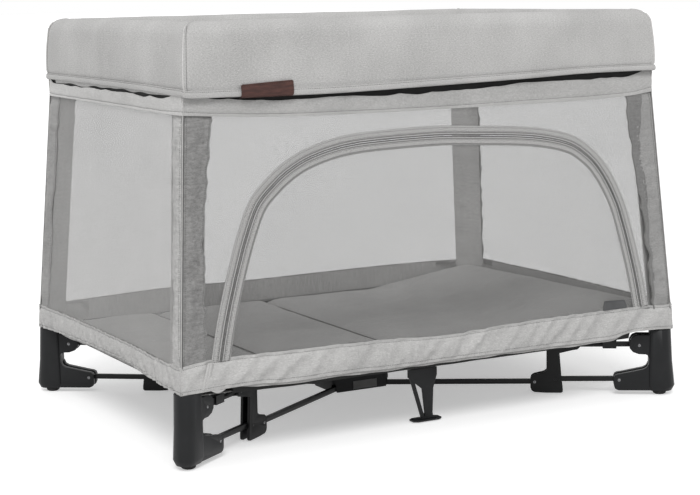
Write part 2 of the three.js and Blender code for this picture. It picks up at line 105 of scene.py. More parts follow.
class Wire:
    # One socket of a shader, so that sums on it are written as sums.
    def __init__(self, recipe, socket):
        self.recipe = recipe
        self.socket = socket

    def maths(self, operation, *terms):
        return self.recipe.add("ShaderNodeMath", {"operation": operation}, dict(enumerate(terms)))

    def of(self, name):
        return Wire(self.recipe, self.socket.node.outputs[name])

    def __add__(self, other):
        return self.maths("ADD", self, other)

    __radd__ = __add__

    def __sub__(self, other):
        return self.maths("SUBTRACT", self, other)

    def __rsub__(self, other):
        return self.maths("SUBTRACT", other, self)

    def __mul__(self, other):
        return self.maths("MULTIPLY", self, other)

    __rmul__ = __mul__

    def __mod__(self, other):
        return self.maths("FLOORED_MODULO", self, other)

    def __lt__(self, other):
        return self.maths("LESS_THAN", self, other)

    def __gt__(self, other):
        return self.maths("GREATER_THAN", self, other)

    def __abs__(self):
        return self.maths("ABSOLUTE", self)

    def sine(self):
        return self.maths("SINE", self)

    def atLeast(self, other):
        return self.maths("MAXIMUM", self, other)

    def atMost(self, other):
        return self.maths("MINIMUM", self, other)


class Recipe:
    # The nodes of a material or of the world.
    def __init__(self, owner):
        owner.use_nodes = True
        self.owner = owner
        self.tree = owner.node_tree
        self.tree.nodes.clear()

    def add(self, kind, settings=None, inputs=None):
        return Wire(self, addNode(self.tree, kind, settings, inputs).outputs[0])

    def place(self, kind="Object", stretch=(1, 1, 1)):
        spot = self.add("ShaderNodeTexCoord").of(kind)
        return self.add("ShaderNodeMapping", {}, {"Vector": spot, "Scale": stretch})

    def speckle(self, spot, scale, detail=2.0, roughness=0.5):
        values = {"Vector": spot, "Scale": scale, "Detail": detail, "Roughness": roughness}
        return self.add("ShaderNodeTexNoise", {}, values)

    def ramp(self, value, stops):
        return self.add("ShaderNodeValToRGB", {"stops": stops}, {"Fac": value})

    def blend(self, share, first, second):
        # sockets 0, 6 and 7 are the share and the two colours, and output 2 is the colour
        values = {0: share, 6: first, 7: second}
        return Wire(self, addNode(self.tree, "ShaderNodeMix", {"data_type": "RGBA"}, values).outputs[2])

    def relief(self, height, strength, distance):
        values = {"Height": height, "Strength": strength, "Distance": distance}
        return self.add("ShaderNodeBump", {}, values)

    def isSeen(self):
        # 1 for what the camera sees straight, mirrored or through glass, and 0 for the light on the object
        path = self.add("ShaderNodeLightPath")
        mirrored, through = path.of("Is Glossy Ray"), path.of("Is Transmission Ray")
        return path.of("Is Camera Ray").atLeast(mirrored).atLeast(through)


class Finish(Recipe):
    # One material. Its shader's own sockets take what is the same all over.
    def __init__(self, name, **fixed):
        super().__init__(bpy.data.materials.new(name))
        self.shader = addNode(self.tree, "ShaderNodeBsdfPrincipled")
        addNode(self.tree, "ShaderNodeOutputMaterial", {}, {0: self.shader.outputs[0]})
        for key, value in fixed.items():
            self.shader.inputs[key.replace("_", " ")].default_value = value

    def feed(self, **links):
        for key, wire in links.items():
            self.tree.links.new(wire.socket, self.shader.inputs[key.replace("_", " ")])
        return self.owner


def grey(level, warm=0.01):
    return (level * (1 + warm), level, level * (1 - 1.6 * warm))


def tint(shade):
    # a lone number is a slightly warm grey
    return shade if isinstance(shade, tuple) else grey(shade)


# the thread's pitch in metres, and how often the others come in a metre, along and across the cloth
clothLook = {
    "threadPitch": 0.0011, "slubs": (260, 620, 1), "flecks": 620, "clouds": 9.0, "puckersAndShade": (105, 230, 1),
}


def wovenCloth(name, dark, light, slub=0.4, kind="UV", pitch=clothLook["threadPitch"], depth=0.5, sheen=0.12,
               pucker=0.0):
    # Plain weave of mixed yarn: small flecks, slubs along the threads, soft clouds of tone, and puckers,
    # whose bumps come with painted shade in their hollows and painted light on their ridges.
    cloth = Finish(name, Sheen_Weight=sheen, Sheen_Roughness=0.5)
    spot = cloth.place(kind)
    thread = cloth.add("ShaderNodeSeparateXYZ", {}, {0: spot})
    turns = 2 * math.pi / pitch
    weave = (thread.of("X") * turns).sine() * (thread.of("Y") * turns).sine() * 0.5 + 0.5
    slubs = cloth.speckle(cloth.place(kind, clothLook["slubs"]), 1.0, 3.0, 0.65)
    flecks = cloth.speckle(spot, clothLook["flecks"], 2.0, 0.7)
    clouds = cloth.speckle(cloth.place("Object"), clothLook["clouds"], 3.0)
    puckersAndShade = cloth.speckle(cloth.place(kind, clothLook["puckersAndShade"]), 1.0, 4.0, 0.6)
    # the puckers' share of the tone is painted shade and light: darker where the pucker noise sinks, lighter
    # where it rises, as its bump does
    tone = (slubs * slub + flecks * (0.8 - slub) + clouds * 0.2) * (1 - pucker) + puckersAndShade * pucker
    shade = cloth.blend(cloth.ramp(tone, [(0.38, 0.0), (0.62, 1.0)]), tint(dark), tint(light))
    rough = 0.97 - weave * 0.08
    bump = cloth.relief(weave + slubs + puckersAndShade * (14 * pucker), depth, 0.00025)
    return cloth.feed(Base_Color=shade, Roughness=rough, Normal=bump)


# distances from the coil, in metres
tapeLook = {
    "lines": (0.0019, 0.0054), "lineHalf": 0.00055, "rim": 0.0168, "inner": -0.0135, "ribPitch": 0.0016,
}


def linedTape(name, pale, dark):
    # The zip's tape: u is the distance from the coil, so its lines run along it.
    tape = Finish(name, Sheen_Weight=0.08)
    parts = tape.add("ShaderNodeSeparateXYZ", {}, {0: tape.add("ShaderNodeTexCoord").of("UV")})
    across = abs(parts.of("X"))
    near, middle = (abs(across - line) < tapeLook["lineHalf"] for line in tapeLook["lines"])
    rim = across > tapeLook["rim"]
    inner = (parts.of("X") < tapeLook["inner"]) * 0.35
    lines = ((near + middle) * 0.8 + rim * 0.4).atLeast(inner)
    ribs = (parts.of("Y") * (2 * math.pi / tapeLook["ribPitch"])).sine() * 0.5 + 0.5
    flecks = tape.speckle(tape.place("UV"), 520.0, 3.0, 0.7)
    paler = tuple(c * 1.9 for c in tint(pale))
    plain = tape.blend(tape.ramp(flecks, [(0.38, 0.0), (0.62, 1.0)]), tint(pale), paler)
    shade = tape.blend(lines.atMost(1.0), plain, tint(dark))
    bump = tape.relief(ribs + lines * -2.0, 0.6, 0.0003)
    return tape.feed(Base_Color=shade, Roughness=0.92 - ribs * 0.06, Normal=bump)


netLook = {"cell": 0.0011, "haze": 0.16}


def nettedCloth(name, dark, light, openTo):
    # Hexagonal net: solid threads, and holes with a little fluff of the yarn in them.
    net = Finish(name)
    spot = net.place("UV")
    cells = 1 / netLook["cell"]
    thread = net.add("ShaderNodeSeparateXYZ", {}, {0: spot})
    x, y = thread.of("X") * cells, thread.of("Y") * cells
    tall = math.sqrt(3)
    ax, ay = (x % 1.0) - 0.5, (y % tall) - tall / 2
    bx, by = ((x - 0.5) % 1.0) - 0.5, ((y - tall / 2) % tall) - tall / 2
    nearA = (ax * ax + ay * ay) < (bx * bx + by * by)
    gx = abs(ax) * nearA + abs(bx) * (1 - nearA)
    gy = abs(ay) * nearA + abs(by) * (1 - nearA)
    edge = gx.atLeast(gx * 0.5 + gy * (tall / 2))
    clouds = net.speckle(net.place("Object"), 12.0, 2.0)
    shade = net.blend(clouds, tint(dark), tint(light))
    threads = (edge > openTo) * (1 - netLook["haze"]) + netLook["haze"]
    return net.feed(Base_Color=shade, Roughness=0.9 - edge * 0.2, Alpha=threads)


def mouldedPlastic(name, dark, light, rough=0.42):
    plastic = Finish(name, Specular_IOR_Level=0.25)
    spot = plastic.place()
    grain = plastic.speckle(spot, 2600.0, 2.0)
    wear = plastic.speckle(spot, 26.0, 4.0)
    return plastic.feed(
        Base_Color=plastic.blend(plastic.ramp(wear, [(0.35, 0.0), (0.75, 1.0)]), tint(dark), tint(light)),
        Roughness=wear * 0.16 + (rough - 0.08),
        Normal=plastic.relief(grain, 0.25, 0.0001),
    )


def coatedSteel(name, shade, rough=0.36, metal=0.0):
    steel = Finish(name, Specular_IOR_Level=0.25, Metallic=metal)
    orange = steel.speckle(steel.place(), 900.0, 2.0)
    scuffs = steel.speckle(steel.place("Object", (30, 30, 240)), 1.0, 3.0)
    paler = tuple(min(1.0, c * 1.5 + 0.006) for c in shade)
    return steel.feed(
        Base_Color=steel.blend(steel.ramp(scuffs, [(0.5, 0.0), (0.8, 1.0)]), shade, paler),
        Roughness=scuffs * 0.2 + (rough - 0.1),
        Normal=steel.relief(orange, 0.2, 0.0001),
    )


def hide(name, dark, light):
    leather = Finish(name, Specular_IOR_Level=0.4)
    settings, values = {"feature": "DISTANCE_TO_EDGE"}, {"Vector": leather.place(), "Scale": 900.0}
    pebble = leather.add("ShaderNodeTexVoronoi", settings, values)
    pull = leather.speckle(leather.place("Object", (60, 60, 260)), 1.0, 4.0, 0.6)
    return leather.feed(
        Base_Color=leather.blend(leather.ramp(pull, [(0.3, 0.0), (0.7, 1.0)]), dark, light),
        Roughness=0.62 - pull * 0.2,
        Normal=leather.relief(pebble * 3.0 + pull, 0.5, 0.0003),
    )


looks = {
    "cover": wovenCloth("coverCloth", 0.335, 0.60),
    "band": wovenCloth("bandCloth", 0.34, 0.58, 0.45, pucker=0.2),
    # the upper band's cloth in two tones: the darker copy on the long sides is painted shade under the
    # cover's edge, and the lighter copy on the short sides is painted light
    "upper": wovenCloth("upperCloth", 0.31, 0.53, 0.45, pucker=0.2),
    "upperSide": wovenCloth("upperSideCloth", 0.40, 0.68, 0.45, pucker=0.2),
    "cord": wovenCloth("pipingCord", 0.52, 0.70, 0.2, "Object", 0.0016),
    "binding": wovenCloth("bindingCloth", 0.36, 0.56, 0.2, pitch=0.0016, depth=0.7),
    # the sleeve cloth in copies of different tone, one for each place a strip stands: the paler ones are
    # painted light, and the darkest is painted shade on a turned edge
    "sleeve": wovenCloth("sleeveCloth", 0.155, 0.325, pucker=0.38),
    "sleeveSide": wovenCloth("sleeveSideCloth", 0.31, 0.60, pucker=0.38),
    "sleeveFlat": wovenCloth("sleeveFlatCloth", 0.20, 0.40, pucker=0.12),
    "sleeveDark": wovenCloth("sleeveDarkCloth", 0.13, 0.25, pucker=0.25),
    # the lining is made paler than the sleeve cloth, partly as painted light through the nets
    "lining": wovenCloth("sleeveLining", 0.38, 0.62, 0.3, pucker=0.38),
    "pad": wovenCloth("padCloth", 0.33, 0.49, kind="Object"),
    "net": nettedCloth("wallNet", 0.17, 0.23, 0.412),
    # a paler copy of the net for the left wall, painted light where the lamp falls on it
    "sideNet": nettedCloth("sideNet", 0.32, 0.42, 0.335),
    "doorNet": nettedCloth("doorNet", 0.13, 0.19, 0.408),
    "zip": linedTape("zipTape", 0.27, 0.045),
    "black": wovenCloth("blackWebbing", 0.004, 0.012, 0.2, "Object", 0.0018, 0.8, sheen=0.0),
    "thread": wovenCloth("sewingThread", 0.08, 0.15, 0.2, "Object", 0.0004),
    "tagThread": wovenCloth("tagThread", (0.05, 0.022, 0.017), (0.11, 0.055, 0.042), 0.2, "Object", 0.0004),
    "plate": mouldedPlastic("hubPlate", 0.16, 0.22, 0.5),
    "teeth": mouldedPlastic("zipCoil", (0.09, 0.09, 0.088), (0.13, 0.13, 0.128), 0.35),
    "plastic": mouldedPlastic("mouldedPlastic", (0.0075, 0.0080, 0.0088), (0.0125, 0.0130, 0.0140), 0.44),
    # a darker copy of the moulded plastic, painted shade on the hub and the middle feet under the pen
    "darkPlastic": mouldedPlastic("shadedPlastic", (0.0016, 0.0018, 0.0020), (0.0042, 0.0044, 0.0048), 0.5),
    "label": mouldedPlastic("labelPatch", (0.075, 0.076, 0.078), (0.11, 0.111, 0.113), 0.5),
    "rubber": mouldedPlastic("rubberPad", (0.03, 0.03, 0.03), (0.045, 0.045, 0.045), 0.8),
    "steel": coatedSteel("blackSteel", (0.007, 0.007, 0.0075)),
    "rivet": coatedSteel("rivetSteel", (0.20, 0.20, 0.205), 0.26, 1.0),
    "leather": hide("tagLeather", (0.030, 0.0085, 0.0060), (0.078, 0.027, 0.020)),
}
print("materials made:", len(looks))


def settle(piece):
    # Bakes a piece's modifiers into a plain mesh.
    sight = bpy.context.evaluated_depsgraph_get()
    baked = bpy.data.meshes.new_from_object(piece.evaluated_get(sight))
    piece.modifiers.clear()
    piece.data = baked
    return piece


def addPiece(name, spots, faces, look, marks=None):
    # marks are the spots' places on the cloth
    mesh = bpy.data.meshes.new(name)
    mesh.from_pydata([tuple(p) for p in spots], [], faces)
    mesh.materials.append(looks[look])
    if marks:
        layer = mesh.uv_layers.new(name="cloth")
        for loop in mesh.loops:
            layer.data[loop.index].uv = marks[loop.vertex_index]
    mesh.shade_smooth()
    piece = addObject(name, mesh)
    piece["look"] = look
    return piece


def gridPiece(name, across, upward, at, look, thickness=0.0, cloth=(1, 1)):
    # at(u, v) gives a point. Seen from outside, u runs to the right and v upwards.
    # cloth turns u and v into a place on the cloth, as two factors or as a function.
    if callable(cloth):
        marks = [cloth(u, v) for v in upward for u in across]
    else:
        marks = [(u * cloth[0], v * cloth[1]) for v in upward for u in across]
    count = len(across)
    faces = [
        (row * count + i, row * count + i + 1, (row + 1) * count + i + 1, (row + 1) * count + i)
        for row in range(len(upward) - 1)
        for i in range(count - 1)
    ]
    piece = addPiece(name, [at(u, v) for v in upward for u in across], faces, look, marks)
    return thicken(piece, thickness) if thickness else piece


def thicken(piece, thickness):
    # Gives a sheet its thickness, inwards from the face that shows.
    wall = piece.modifiers.new("wall", "SOLIDIFY")
    wall.thickness = thickness
    wall.offset = -1
    settle(piece)
    piece.data.set_sharp_from_angle(angle=math.radians(48))
    return piece


def fixFaces(piece):
    # Makes a closed shape's faces point outwards.
    form = bmesh.new()
    form.from_mesh(piece.data)
    bmesh.ops.recalc_face_normals(form, faces=form.faces)
    form.to_mesh(piece.data)
    form.free()
    return piece


def ringPiece(name, rings, look, marks=None):
    # A closed piece from closed rings of points, one after another.
    count = len(rings[0])
    faces = [
        (r * count + i, r * count + (i + 1) % count, (r + 1) * count + (i + 1) % count, (r + 1) * count + i)
        for r in range(len(rings) - 1)
        for i in range(count)
    ]
    faces.append(tuple(range(count))[::-1])
    faces.append(tuple((len(rings) - 1) * count + i for i in range(count)))
    return fixFaces(addPiece(name, [spot for ring in rings for spot in ring], faces, look, marks))


def tubePiece(name, line, radius, look):
    # A closed round cord along a line of points.
    rings, facets = [], 8
    for i, spot in enumerate(line):
        along = (line[min(i + 1, len(line) - 1)] - line[max(i - 1, 0)]).normalized()
        across = along.cross(Vector((0, 0, 1)) if abs(along.z) < 0.9 else Vector((1, 0, 0))).normalized()
        lift = across.cross(along)
        angles = [2 * math.pi * k / facets for k in range(facets)]
        rings.append([spot + (across * math.cos(a) + lift * math.sin(a)) * radius for a in angles])
    marks = [(k / facets * 0.01, i * 0.02) for i in range(len(line)) for k in range(facets)]
    return ringPiece(name, rings, look, marks)


def joinPieces(name, parts):
    # All parts become the first one, each face keeping its own material.
    bpy.ops.object.select_all(action="DESELECT")
    for part in parts:
        part.select_set(True)
    bpy.context.view_layer.objects.active = parts[0]
    bpy.ops.object.join()
    parts[0].name = name
    parts[0].data.name = name
    return parts[0]


def steps(first, last, size):
    count = max(1, math.ceil(abs(last - first) / size))
    return [first + (last - first) * i / count for i in range(count + 1)]


def track(*points):
    # A smooth line through a few (place, value) points, level beyond its ends.
    def at(u):
        if u <= points[0][0]:
            return points[0][1]
        if u >= points[-1][0]:
            return points[-1][1]
        i = max(k for k in range(len(points) - 1) if points[k][0] <= u)
        (xa, a), (xb, b) = points[i], points[i + 1]
        slope = [0.0, 0.0]
        for n, k in enumerate((i, i + 1)):
            low, high = points[max(k - 1, 0)], points[min(k + 1, len(points) - 1)]
            slope[n] = (high[1] - low[1]) / (high[0] - low[0])
        t, span = (u - xa) / (xb - xa), xb - xa
        start = (2 * t**3 - 3 * t**2 + 1) * a + (t**3 - 2 * t**2 + t) * slope[0] * span
        return start + (3 * t**2 - 2 * t**3) * b + (t**3 - t**2) * slope[1] * span
    return at


def ripple(x, y, z, pitch, size):
    return size * noise.noise(Vector((x, y, z)) / pitch)


def crease(x, y, z, pitch, size):
    # sharp ridges with soft valleys, as in cloth that is pulled
    return size * (0.28 - abs(noise.noise(Vector((x, y, z)) / pitch)))


def ease(value, low, high):
    # from 0 at low to 1 at high, level at both
    t = min(1.0, max(0.0, (value - low) / (high - low)))
    return t * t * (3 - 2 * t)


def ridge(value, middle, width):
    # 1 at the middle, falling off smoothly
    return math.exp(-(((value - middle) / width) ** 2))


def startTree(name, sizes):
    # A tree with one named input for each size, and a finish the result is given.
    tree = bpy.data.node_groups.new(name, "GeometryNodeTree")
    tree.interface.new_socket("Geometry", in_out="INPUT", socket_type="NodeSocketGeometry")
    for label, value in sizes.items():
        kind = "NodeSocketVector" if isinstance(value, tuple) else "NodeSocketFloat"
        tree.interface.new_socket(label, in_out="INPUT", socket_type=kind).default_value = value
    tree.interface.new_socket("Finish", in_out="INPUT", socket_type="NodeSocketMaterial")
    tree.interface.new_socket("Geometry", in_out="OUTPUT", socket_type="NodeSocketGeometry")
    return tree, addNode(tree, "NodeGroupInput").outputs


def grow(tree, kind, settings=None, inputs=None):
    # a geometry node's first output
    return addNode(tree, f"GeometryNode{kind}", settings, inputs).outputs[0]


def endTree(tree, inputs, instances):
    smooth = grow(tree, "SetShadeSmooth", {}, {0: grow(tree, "RealizeInstances", {}, {0: instances})})
    finish = grow(tree, "SetMaterial", {}, {0: smooth, "Material": inputs["Finish"]})
    addNode(tree, "NodeGroupOutput", {}, {0: finish})
    return tree


def addBead(tree, segments, rings, *sizes):
    # a ball squeezed or stretched to its half sizes along X, Y and Z
    ball = grow(tree, "MeshUVSphere", {}, {"Segments": segments, "Rings": rings, "Radius": 1.0})
    size = addNode(tree, "ShaderNodeCombineXYZ", {}, dict(enumerate(sizes)))
    return grow(tree, "Transform", {}, {"Geometry": ball, "Scale": size.outputs[0]})


def facingTo(tree, axis, inputs, **settings):
    # a turn that points an axis along a vector
    return addNode(tree, "FunctionNodeAlignRotationToVector", {"axis": axis, **settings}, inputs).outputs[0]


def stitchTree():
    # Rows of stitches along edges. Facing is the way out of the cloth.
    tree, inputs = startTree("stitchRow", {
        "Pitch": 0.0034, "Along": 0.00125, "Across": 0.00045, "Proud": 0.0004, "Facing": (0.0, -1.0, 0.0),
    })
    row = grow(tree, "MeshToCurve", {}, {"Mesh": inputs["Geometry"]})
    places = grow(tree, "ResampleCurve", {"mode": "LENGTH"}, {0: row, "Length": inputs["Pitch"]})
    bead = addBead(tree, 6, 4, inputs["Along"], inputs["Proud"], inputs["Across"])
    along = facingTo(tree, "X", {"Vector": grow(tree, "InputTangent")})
    outward = facingTo(tree, "Y", {"Rotation": along, "Vector": inputs["Facing"]}, pivot_axis="X")
    uneven = addNode(tree, "FunctionNodeRandomValue", {"data_type": "FLOAT"}, {2: 0.86, 3: 1.08, "Seed": 11})
    values = {"Points": places, "Instance": bead, "Rotation": outward, "Scale": uneven.outputs[1]}
    return endTree(tree, inputs, grow(tree, "InstanceOnPoints", {}, values))


def rivetTree():
    # A domed head on a thin washer at each point, turned to the point's facing attribute.
    sizes = {"Head": 0.0017, "Dome": 0.0013, "Washer": 0.0030, "Plate": 0.0004}
    tree, inputs = startTree("rivetHeads", sizes)
    facing = grow(tree, "InputNamedAttribute", {"data_type": "FLOAT_VECTOR"}, {"Name": "facing"})
    both = addNode(tree, "GeometryNodeJoinGeometry")
    for across, tall in (("Head", "Dome"), ("Washer", "Plate")):
        part = addBead(tree, 14, 8, inputs[across], inputs[across], inputs[tall])
        tree.links.new(part, both.inputs[0])
    turn = facingTo(tree, "Z", {"Vector": facing})
    values = {"Points": inputs["Geometry"], "Instance": both.outputs[0], "Rotation": turn}
    return endTree(tree, inputs, grow(tree, "InstanceOnPoints", {}, values))


stitchRow, rivetHeads = stitchTree(), rivetTree()


def growTree(name, mesh, tree, look, **sizes):
    # Runs a tree on a mesh of points or lines and keeps the result as a plain mesh.
    piece = addObject(name, mesh)
    grown = piece.modifiers.new("grown", "NODES")
    grown.node_group = tree
    values = sizes | {"Finish": looks[look]}
    for item in tree.interface.items_tree:
        if item.in_out == "INPUT" and item.name in values:
            grown[item.identifier] = values[item.name]
    piece["look"] = look
    return settle(piece)


def stitches(name, lines, facing, look="thread", **sizes):
    # lines are rows of points on the cloth
    edges, start = [], 0
    for line in lines:
        edges += [(start + i, start + i + 1) for i in range(len(line) - 1)]
        start += len(line)
    mesh = bpy.data.meshes.new(name)
    mesh.from_pydata([tuple(p) for line in lines for p in line], edges, [])
    return growTree(name, mesh, stitchRow, look, Facing=tuple(facing), **sizes)


def rivets(name, places):
    # places are (point, way out)
    mesh = bpy.data.meshes.new(name)
    mesh.from_pydata([tuple(p) for p, _ in places], [], [])
    outward = mesh.attributes.new("facing", "FLOAT_VECTOR", "POINT")
    for slot, (_, way) in zip(outward.data, places):
        slot.vector = way
    return growTree(name, mesh, rivetHeads, "rivet")


print("stitch and rivet trees made")

# the walls' hem ring, and how far the walls lean in for each metre of height
wallSize = {"hemX": 0.508, "hemY": 0.353, "hemZ": 0.126, "leanX": 0.0700, "leanY": 0.0656}
# how much shorter a side gets when folded; here and below, True is for a long side and False for a short one
foldTravel = {True: 0.6618, False: 0.4532}
sides = {
    "front": {"turn": 0, "long": True, "body": "front_left_leg"},
    "right": {"turn": 90, "long": False, "body": "front_right_leg"},
    "back": {"turn": 180, "long": True, "body": "back_left_leg"},
    "left": {"turn": -90, "long": False, "body": "front_left_leg"},
}
corners = {
    "front_right": (("front", "right"), "front_right_leg"),
    "back_right": (("right", "back"), "back_right_leg"),
    "back_left": (("back", "left"), "back_left_leg"),
    "front_left": (("left", "front"), "front_left_leg"),
}


def turned(side, x, y, z):
    # from the front wall's place to the same place on another wall
    places = {0: (x, y, z), 90: (-y, x, z), 180: (-x, -y, z), -90: (y, -x, z)}
    return Vector(places[sides[side]["turn"]])


def ringAt(z):
    # half the length of the long and of the short walls at a height
    rise = z - wallSize["hemZ"]
    return wallSize["hemX"] - wallSize["leanX"] * rise, wallSize["hemY"] - wallSize["leanY"] * rise


def faceAt(side, z):
    return ringAt(z)[1 if sides[side]["long"] else 0]


def endAt(side, z):
    return ringAt(z)[0 if sides[side]["long"] else 1]


def onWall(side, u, z, out=0.0):
    # u runs to the right along the wall, seen from outside, and z is the height
    return turned(side, u, -faceAt(side, z) - out, z)


def outwards(side):
    return onWall(side, 0, 0, 1) - onWall(side, 0, 0, 0)


def fixTo(piece, body):
    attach(piece, body)
    return piece


def crumple(piece, side, half, body=None):
    # The real cloth crumples as the frame folds; here the piece is only fixed to its wall's body and given
    # its own mesh.
    long = sides[side]["long"]
    axis, anchor = ((1, 0, 0), (-half, 0, 0)) if long else ((0, 1, 0), (0, -half, 0))
    fixTo(piece, body or sides[side]["body"])
    1 - foldTravel[long] / (2 * half)
    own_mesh(piece)
    return piece


def sewn(cloth, side, lines, look="thread", **sizes):
    # Adds rows of stitches to a cloth, so that they fold with it.
    rows = stitches(f"{cloth.name}_sewing", lines, outwards(side), look, **sizes)
    return joinPieces(cloth.name, [cloth, rows])


def leanIn(side, u, z, level):
    # Moves the last few centimetres of a strip drawn at one level along with the leaning corner.
    end = endAt(side, level)
    return u + math.copysign((endAt(side, z) - end) * ease(abs(u), end - 0.07, end), u)


# width of the sleeve at each height; -1 is a wall's left end and 1 its right end, seen from outside
sleeveWidth = {
    ("front", -1): track(
        (0.16, 0.044), (0.30, 0.041), (0.40, 0.037), (0.51, 0.046), (0.58, 0.050), (0.67, 0.054),
    ),
    ("front", 1): track(
        (0.16, 0.040), (0.26, 0.041), (0.38, 0.047), (0.47, 0.055), (0.57, 0.059), (0.67, 0.062),
    ),
    ("left", 1): track((0.16, 0.038), (0.40, 0.040), (0.67, 0.044)),
    ("left", -1): track((0.16, 0.042), (0.40, 0.044), (0.67, 0.050)),
    ("back", -1): track((0.16, 0.020), (0.40, 0.019), (0.67, 0.020)),
    ("back", 1): track((0.16, 0.044), (0.40, 0.046), (0.67, 0.052)),
    ("right", 1): track((0.16, 0.052), (0.40, 0.053), (0.67, 0.053)),
    ("right", -1): track((0.16, 0.040), (0.40, 0.043), (0.67, 0.050)),
}
# the copy of the sleeve cloth that each strip takes, as painted light: paler where more light falls; a strip
# that isn't here takes the plain sleeve cloth
sleeveLook = {
    ("left", 1): "sleeveSide", ("left", -1): "sleeveFlat", ("back", 1): "sleeveSide",
    ("back", -1): "sleeveSide", ("right", 1): "sleeveSide", ("front", 1): "sleeveFlat",
}
# where the sleeve's own turned edge begins at each height, as a share of its width; the turned edge is
# painted darker, as painted shade
sleeveTurn = {("front", 1): track((0.16, 0.88), (0.26, 0.80), (0.36, 0.64), (0.48, 0.60), (0.58, 0.48))}

# heights of each wall's seams along it; a side that isn't here mirrors the opposite one
hemLine = {
    "front": track(
        (-0.507, 0.1275), (-0.440, 0.1300), (-0.365, 0.1305), (-0.316, 0.127), (-0.199, 0.128),
        (-0.108, 0.126), (0.018, 0.127), (0.214, 0.125), (0.367, 0.124), (0.400, 0.130), (0.457, 0.131),
        (0.507, 0.1275),
    ),
    "left": track(
        (-0.350, 0.1275), (-0.291, 0.132), (-0.119, 0.139), (0.039, 0.142), (0.113, 0.143), (0.199, 0.136),
        (0.287, 0.130), (0.355, 0.1275),
    ),
}
bandLine = {
    "front": track(
        (-0.503, 0.174), (-0.456, 0.180), (-0.284, 0.180), (-0.120, 0.177), (0.012, 0.171), (0.109, 0.175),
        (0.209, 0.178), (0.426, 0.178), (0.492, 0.175),
    ),
    "left": track((-0.339, 0.172), (-0.205, 0.174), (0.147, 0.174), (0.251, 0.171), (0.348, 0.172)),
    "back": track((-0.473, 0.175), (-0.302, 0.179), (0.054, 0.178), (0.229, 0.180), (0.447, 0.174)),
    "right": track((-0.34, 0.179), (0.0, 0.182), (0.34, 0.180)),
}
upperLow = {
    "front": track(
        (-0.476, 0.582), (-0.319, 0.573), (-0.155, 0.570), (0.211, 0.570), (0.418, 0.574), (0.476, 0.580),
    ),
    "left": track((-0.320, 0.586), (-0.018, 0.584), (0.263, 0.582), (0.320, 0.582)),
}
upperHigh = {
    "front": track(
        (-0.476, 0.618), (-0.444, 0.612), (-0.411, 0.606), (-0.349, 0.602), (-0.285, 0.600), (0.010, 0.599),
        (0.089, 0.601), (0.213, 0.608), (0.406, 0.609), (0.451, 0.616), (0.476, 0.628),
    ),
    "left": track(
        (-0.322, 0.622), (-0.295, 0.611), (0.0, 0.609), (0.240, 0.608), (0.300, 0.616), (0.322, 0.620),
    ),
}


def lineOf(lines, side, u):
    if side in lines:
        return lines[side](u)
    return lines["front" if sides[side]["long"] else "left"](-u)


netSize = {
    "low": 0.168, "high": 0.592, "in": 0.0016, "underSleeve": 0.012, "underZip": 0.010, "cell": 0.02,
    "sag": 0.0012, "cut": {True: (0.915, 0.424), False: (0.61, 0.424)}, "frontArea": 0.118,
    "foldLevel": 0.38, "foldShort": 0.035,
}


def netEdge(side, end, z):
    # how far from the wall's middle the net reaches, a little way under the sleeve
    return endAt(side, z) - sleeveWidth[(side, end)](z) + netSize["underSleeve"]


def netPanel(side):
    def along(share, z):
        left, right = netEdge(side, -1, z), netEdge(side, 1, z)
        return -left + share * (left + right)

    def at(share, z):
        u = along(share, z)
        return onWall(side, u, z, -netSize["in"] + ripple(u, z, sides[side]["turn"], 0.16, netSize["sag"]))

    def cloth(share, z):
        return (along(share, z), z)

    # the left wall takes the paler copy of the net, as painted light
    look = "sideNet" if side == "left" else "net"
    rows = steps(netSize["low"], netSize["high"], netSize["cell"])
    return gridPiece(f"{side}_net", steps(0, 1, netSize["cell"]), rows, at, look, cloth=cloth)


bandSize = {
    "level": 0.15, "over": 0.0010, "proud": 0.0014, "thick": 0.0022, "cell": {True: 0.0035, False: 0.0024},
    "seams": (0.9, 0.12), "liningLow": 0.134, "liningIn": 0.0062, "liningShort": 0.100,
}


def bottomBand(side):
    # A wide hem, gathered along its seam on the short sides and softly creased on the long ones.
    size, long = bandSize, sides[side]["long"]
    end = endAt(side, size["level"]) + size["over"]
    seed = sides[side]["turn"] * 0.01

    def at(u, v, lift=0.0):
        low, high = lineOf(hemLine, side, u), lineOf(bandLine, side, u)
        z = low + (high - low) * v
        full = size["proud"] + 0.0016 * math.sin(math.pi * min(1, v * 1.08)) - 0.0012 * ridge(v, 0.9, 0.05)
        belly = math.sin(math.pi * (0.1 + 0.8 * v))
        if long:
            folds = crease(u - 0.9 * (z - 0.15), seed, z * 0.4, 0.046, 0.0150) * belly
            folds += crease(u + 0.5 * (z - 0.15), seed + 2, z, 0.015, 0.0058) * belly
        else:
            folds = crease(u + 0.5 * z, seed, z * 0.5, 0.014, 0.0100) * (1 - 0.4 * v)
            folds += crease(u - 0.4 * z, seed + 3, z, 0.0065, 0.0040) * belly
        calm = ease(end - abs(u), 0.0, 0.03)
        return onWall(side, leanIn(side, u, z, size["level"]), z, full + folds * calm + lift)

    across = steps(-end, end, size["cell"][long])
    shares = [0, 0.04, 0.1, 0.2, 0.3, 0.42, 0.54, 0.66, 0.76, 0.83, 0.87, 0.9, 0.93, 0.97, 1]
    band = gridPiece(f"{side}_bottom_band", across, shares, at, "band", size["thick"], (1, 0.05))
    band.data.materials.append(looks["pad"])
    for face in band.data.polygons:
        if face.normal.dot(outwards(side)) < -0.3:
            face.material_index = 1  # lined with the mattress's cloth
    band = joinPieces(band.name, [band, bandLining(side, end - size["liningShort"])])
    return sewn(band, side, [[at(u, v, 0.0002) for u in across] for v in size["seams"]]), end


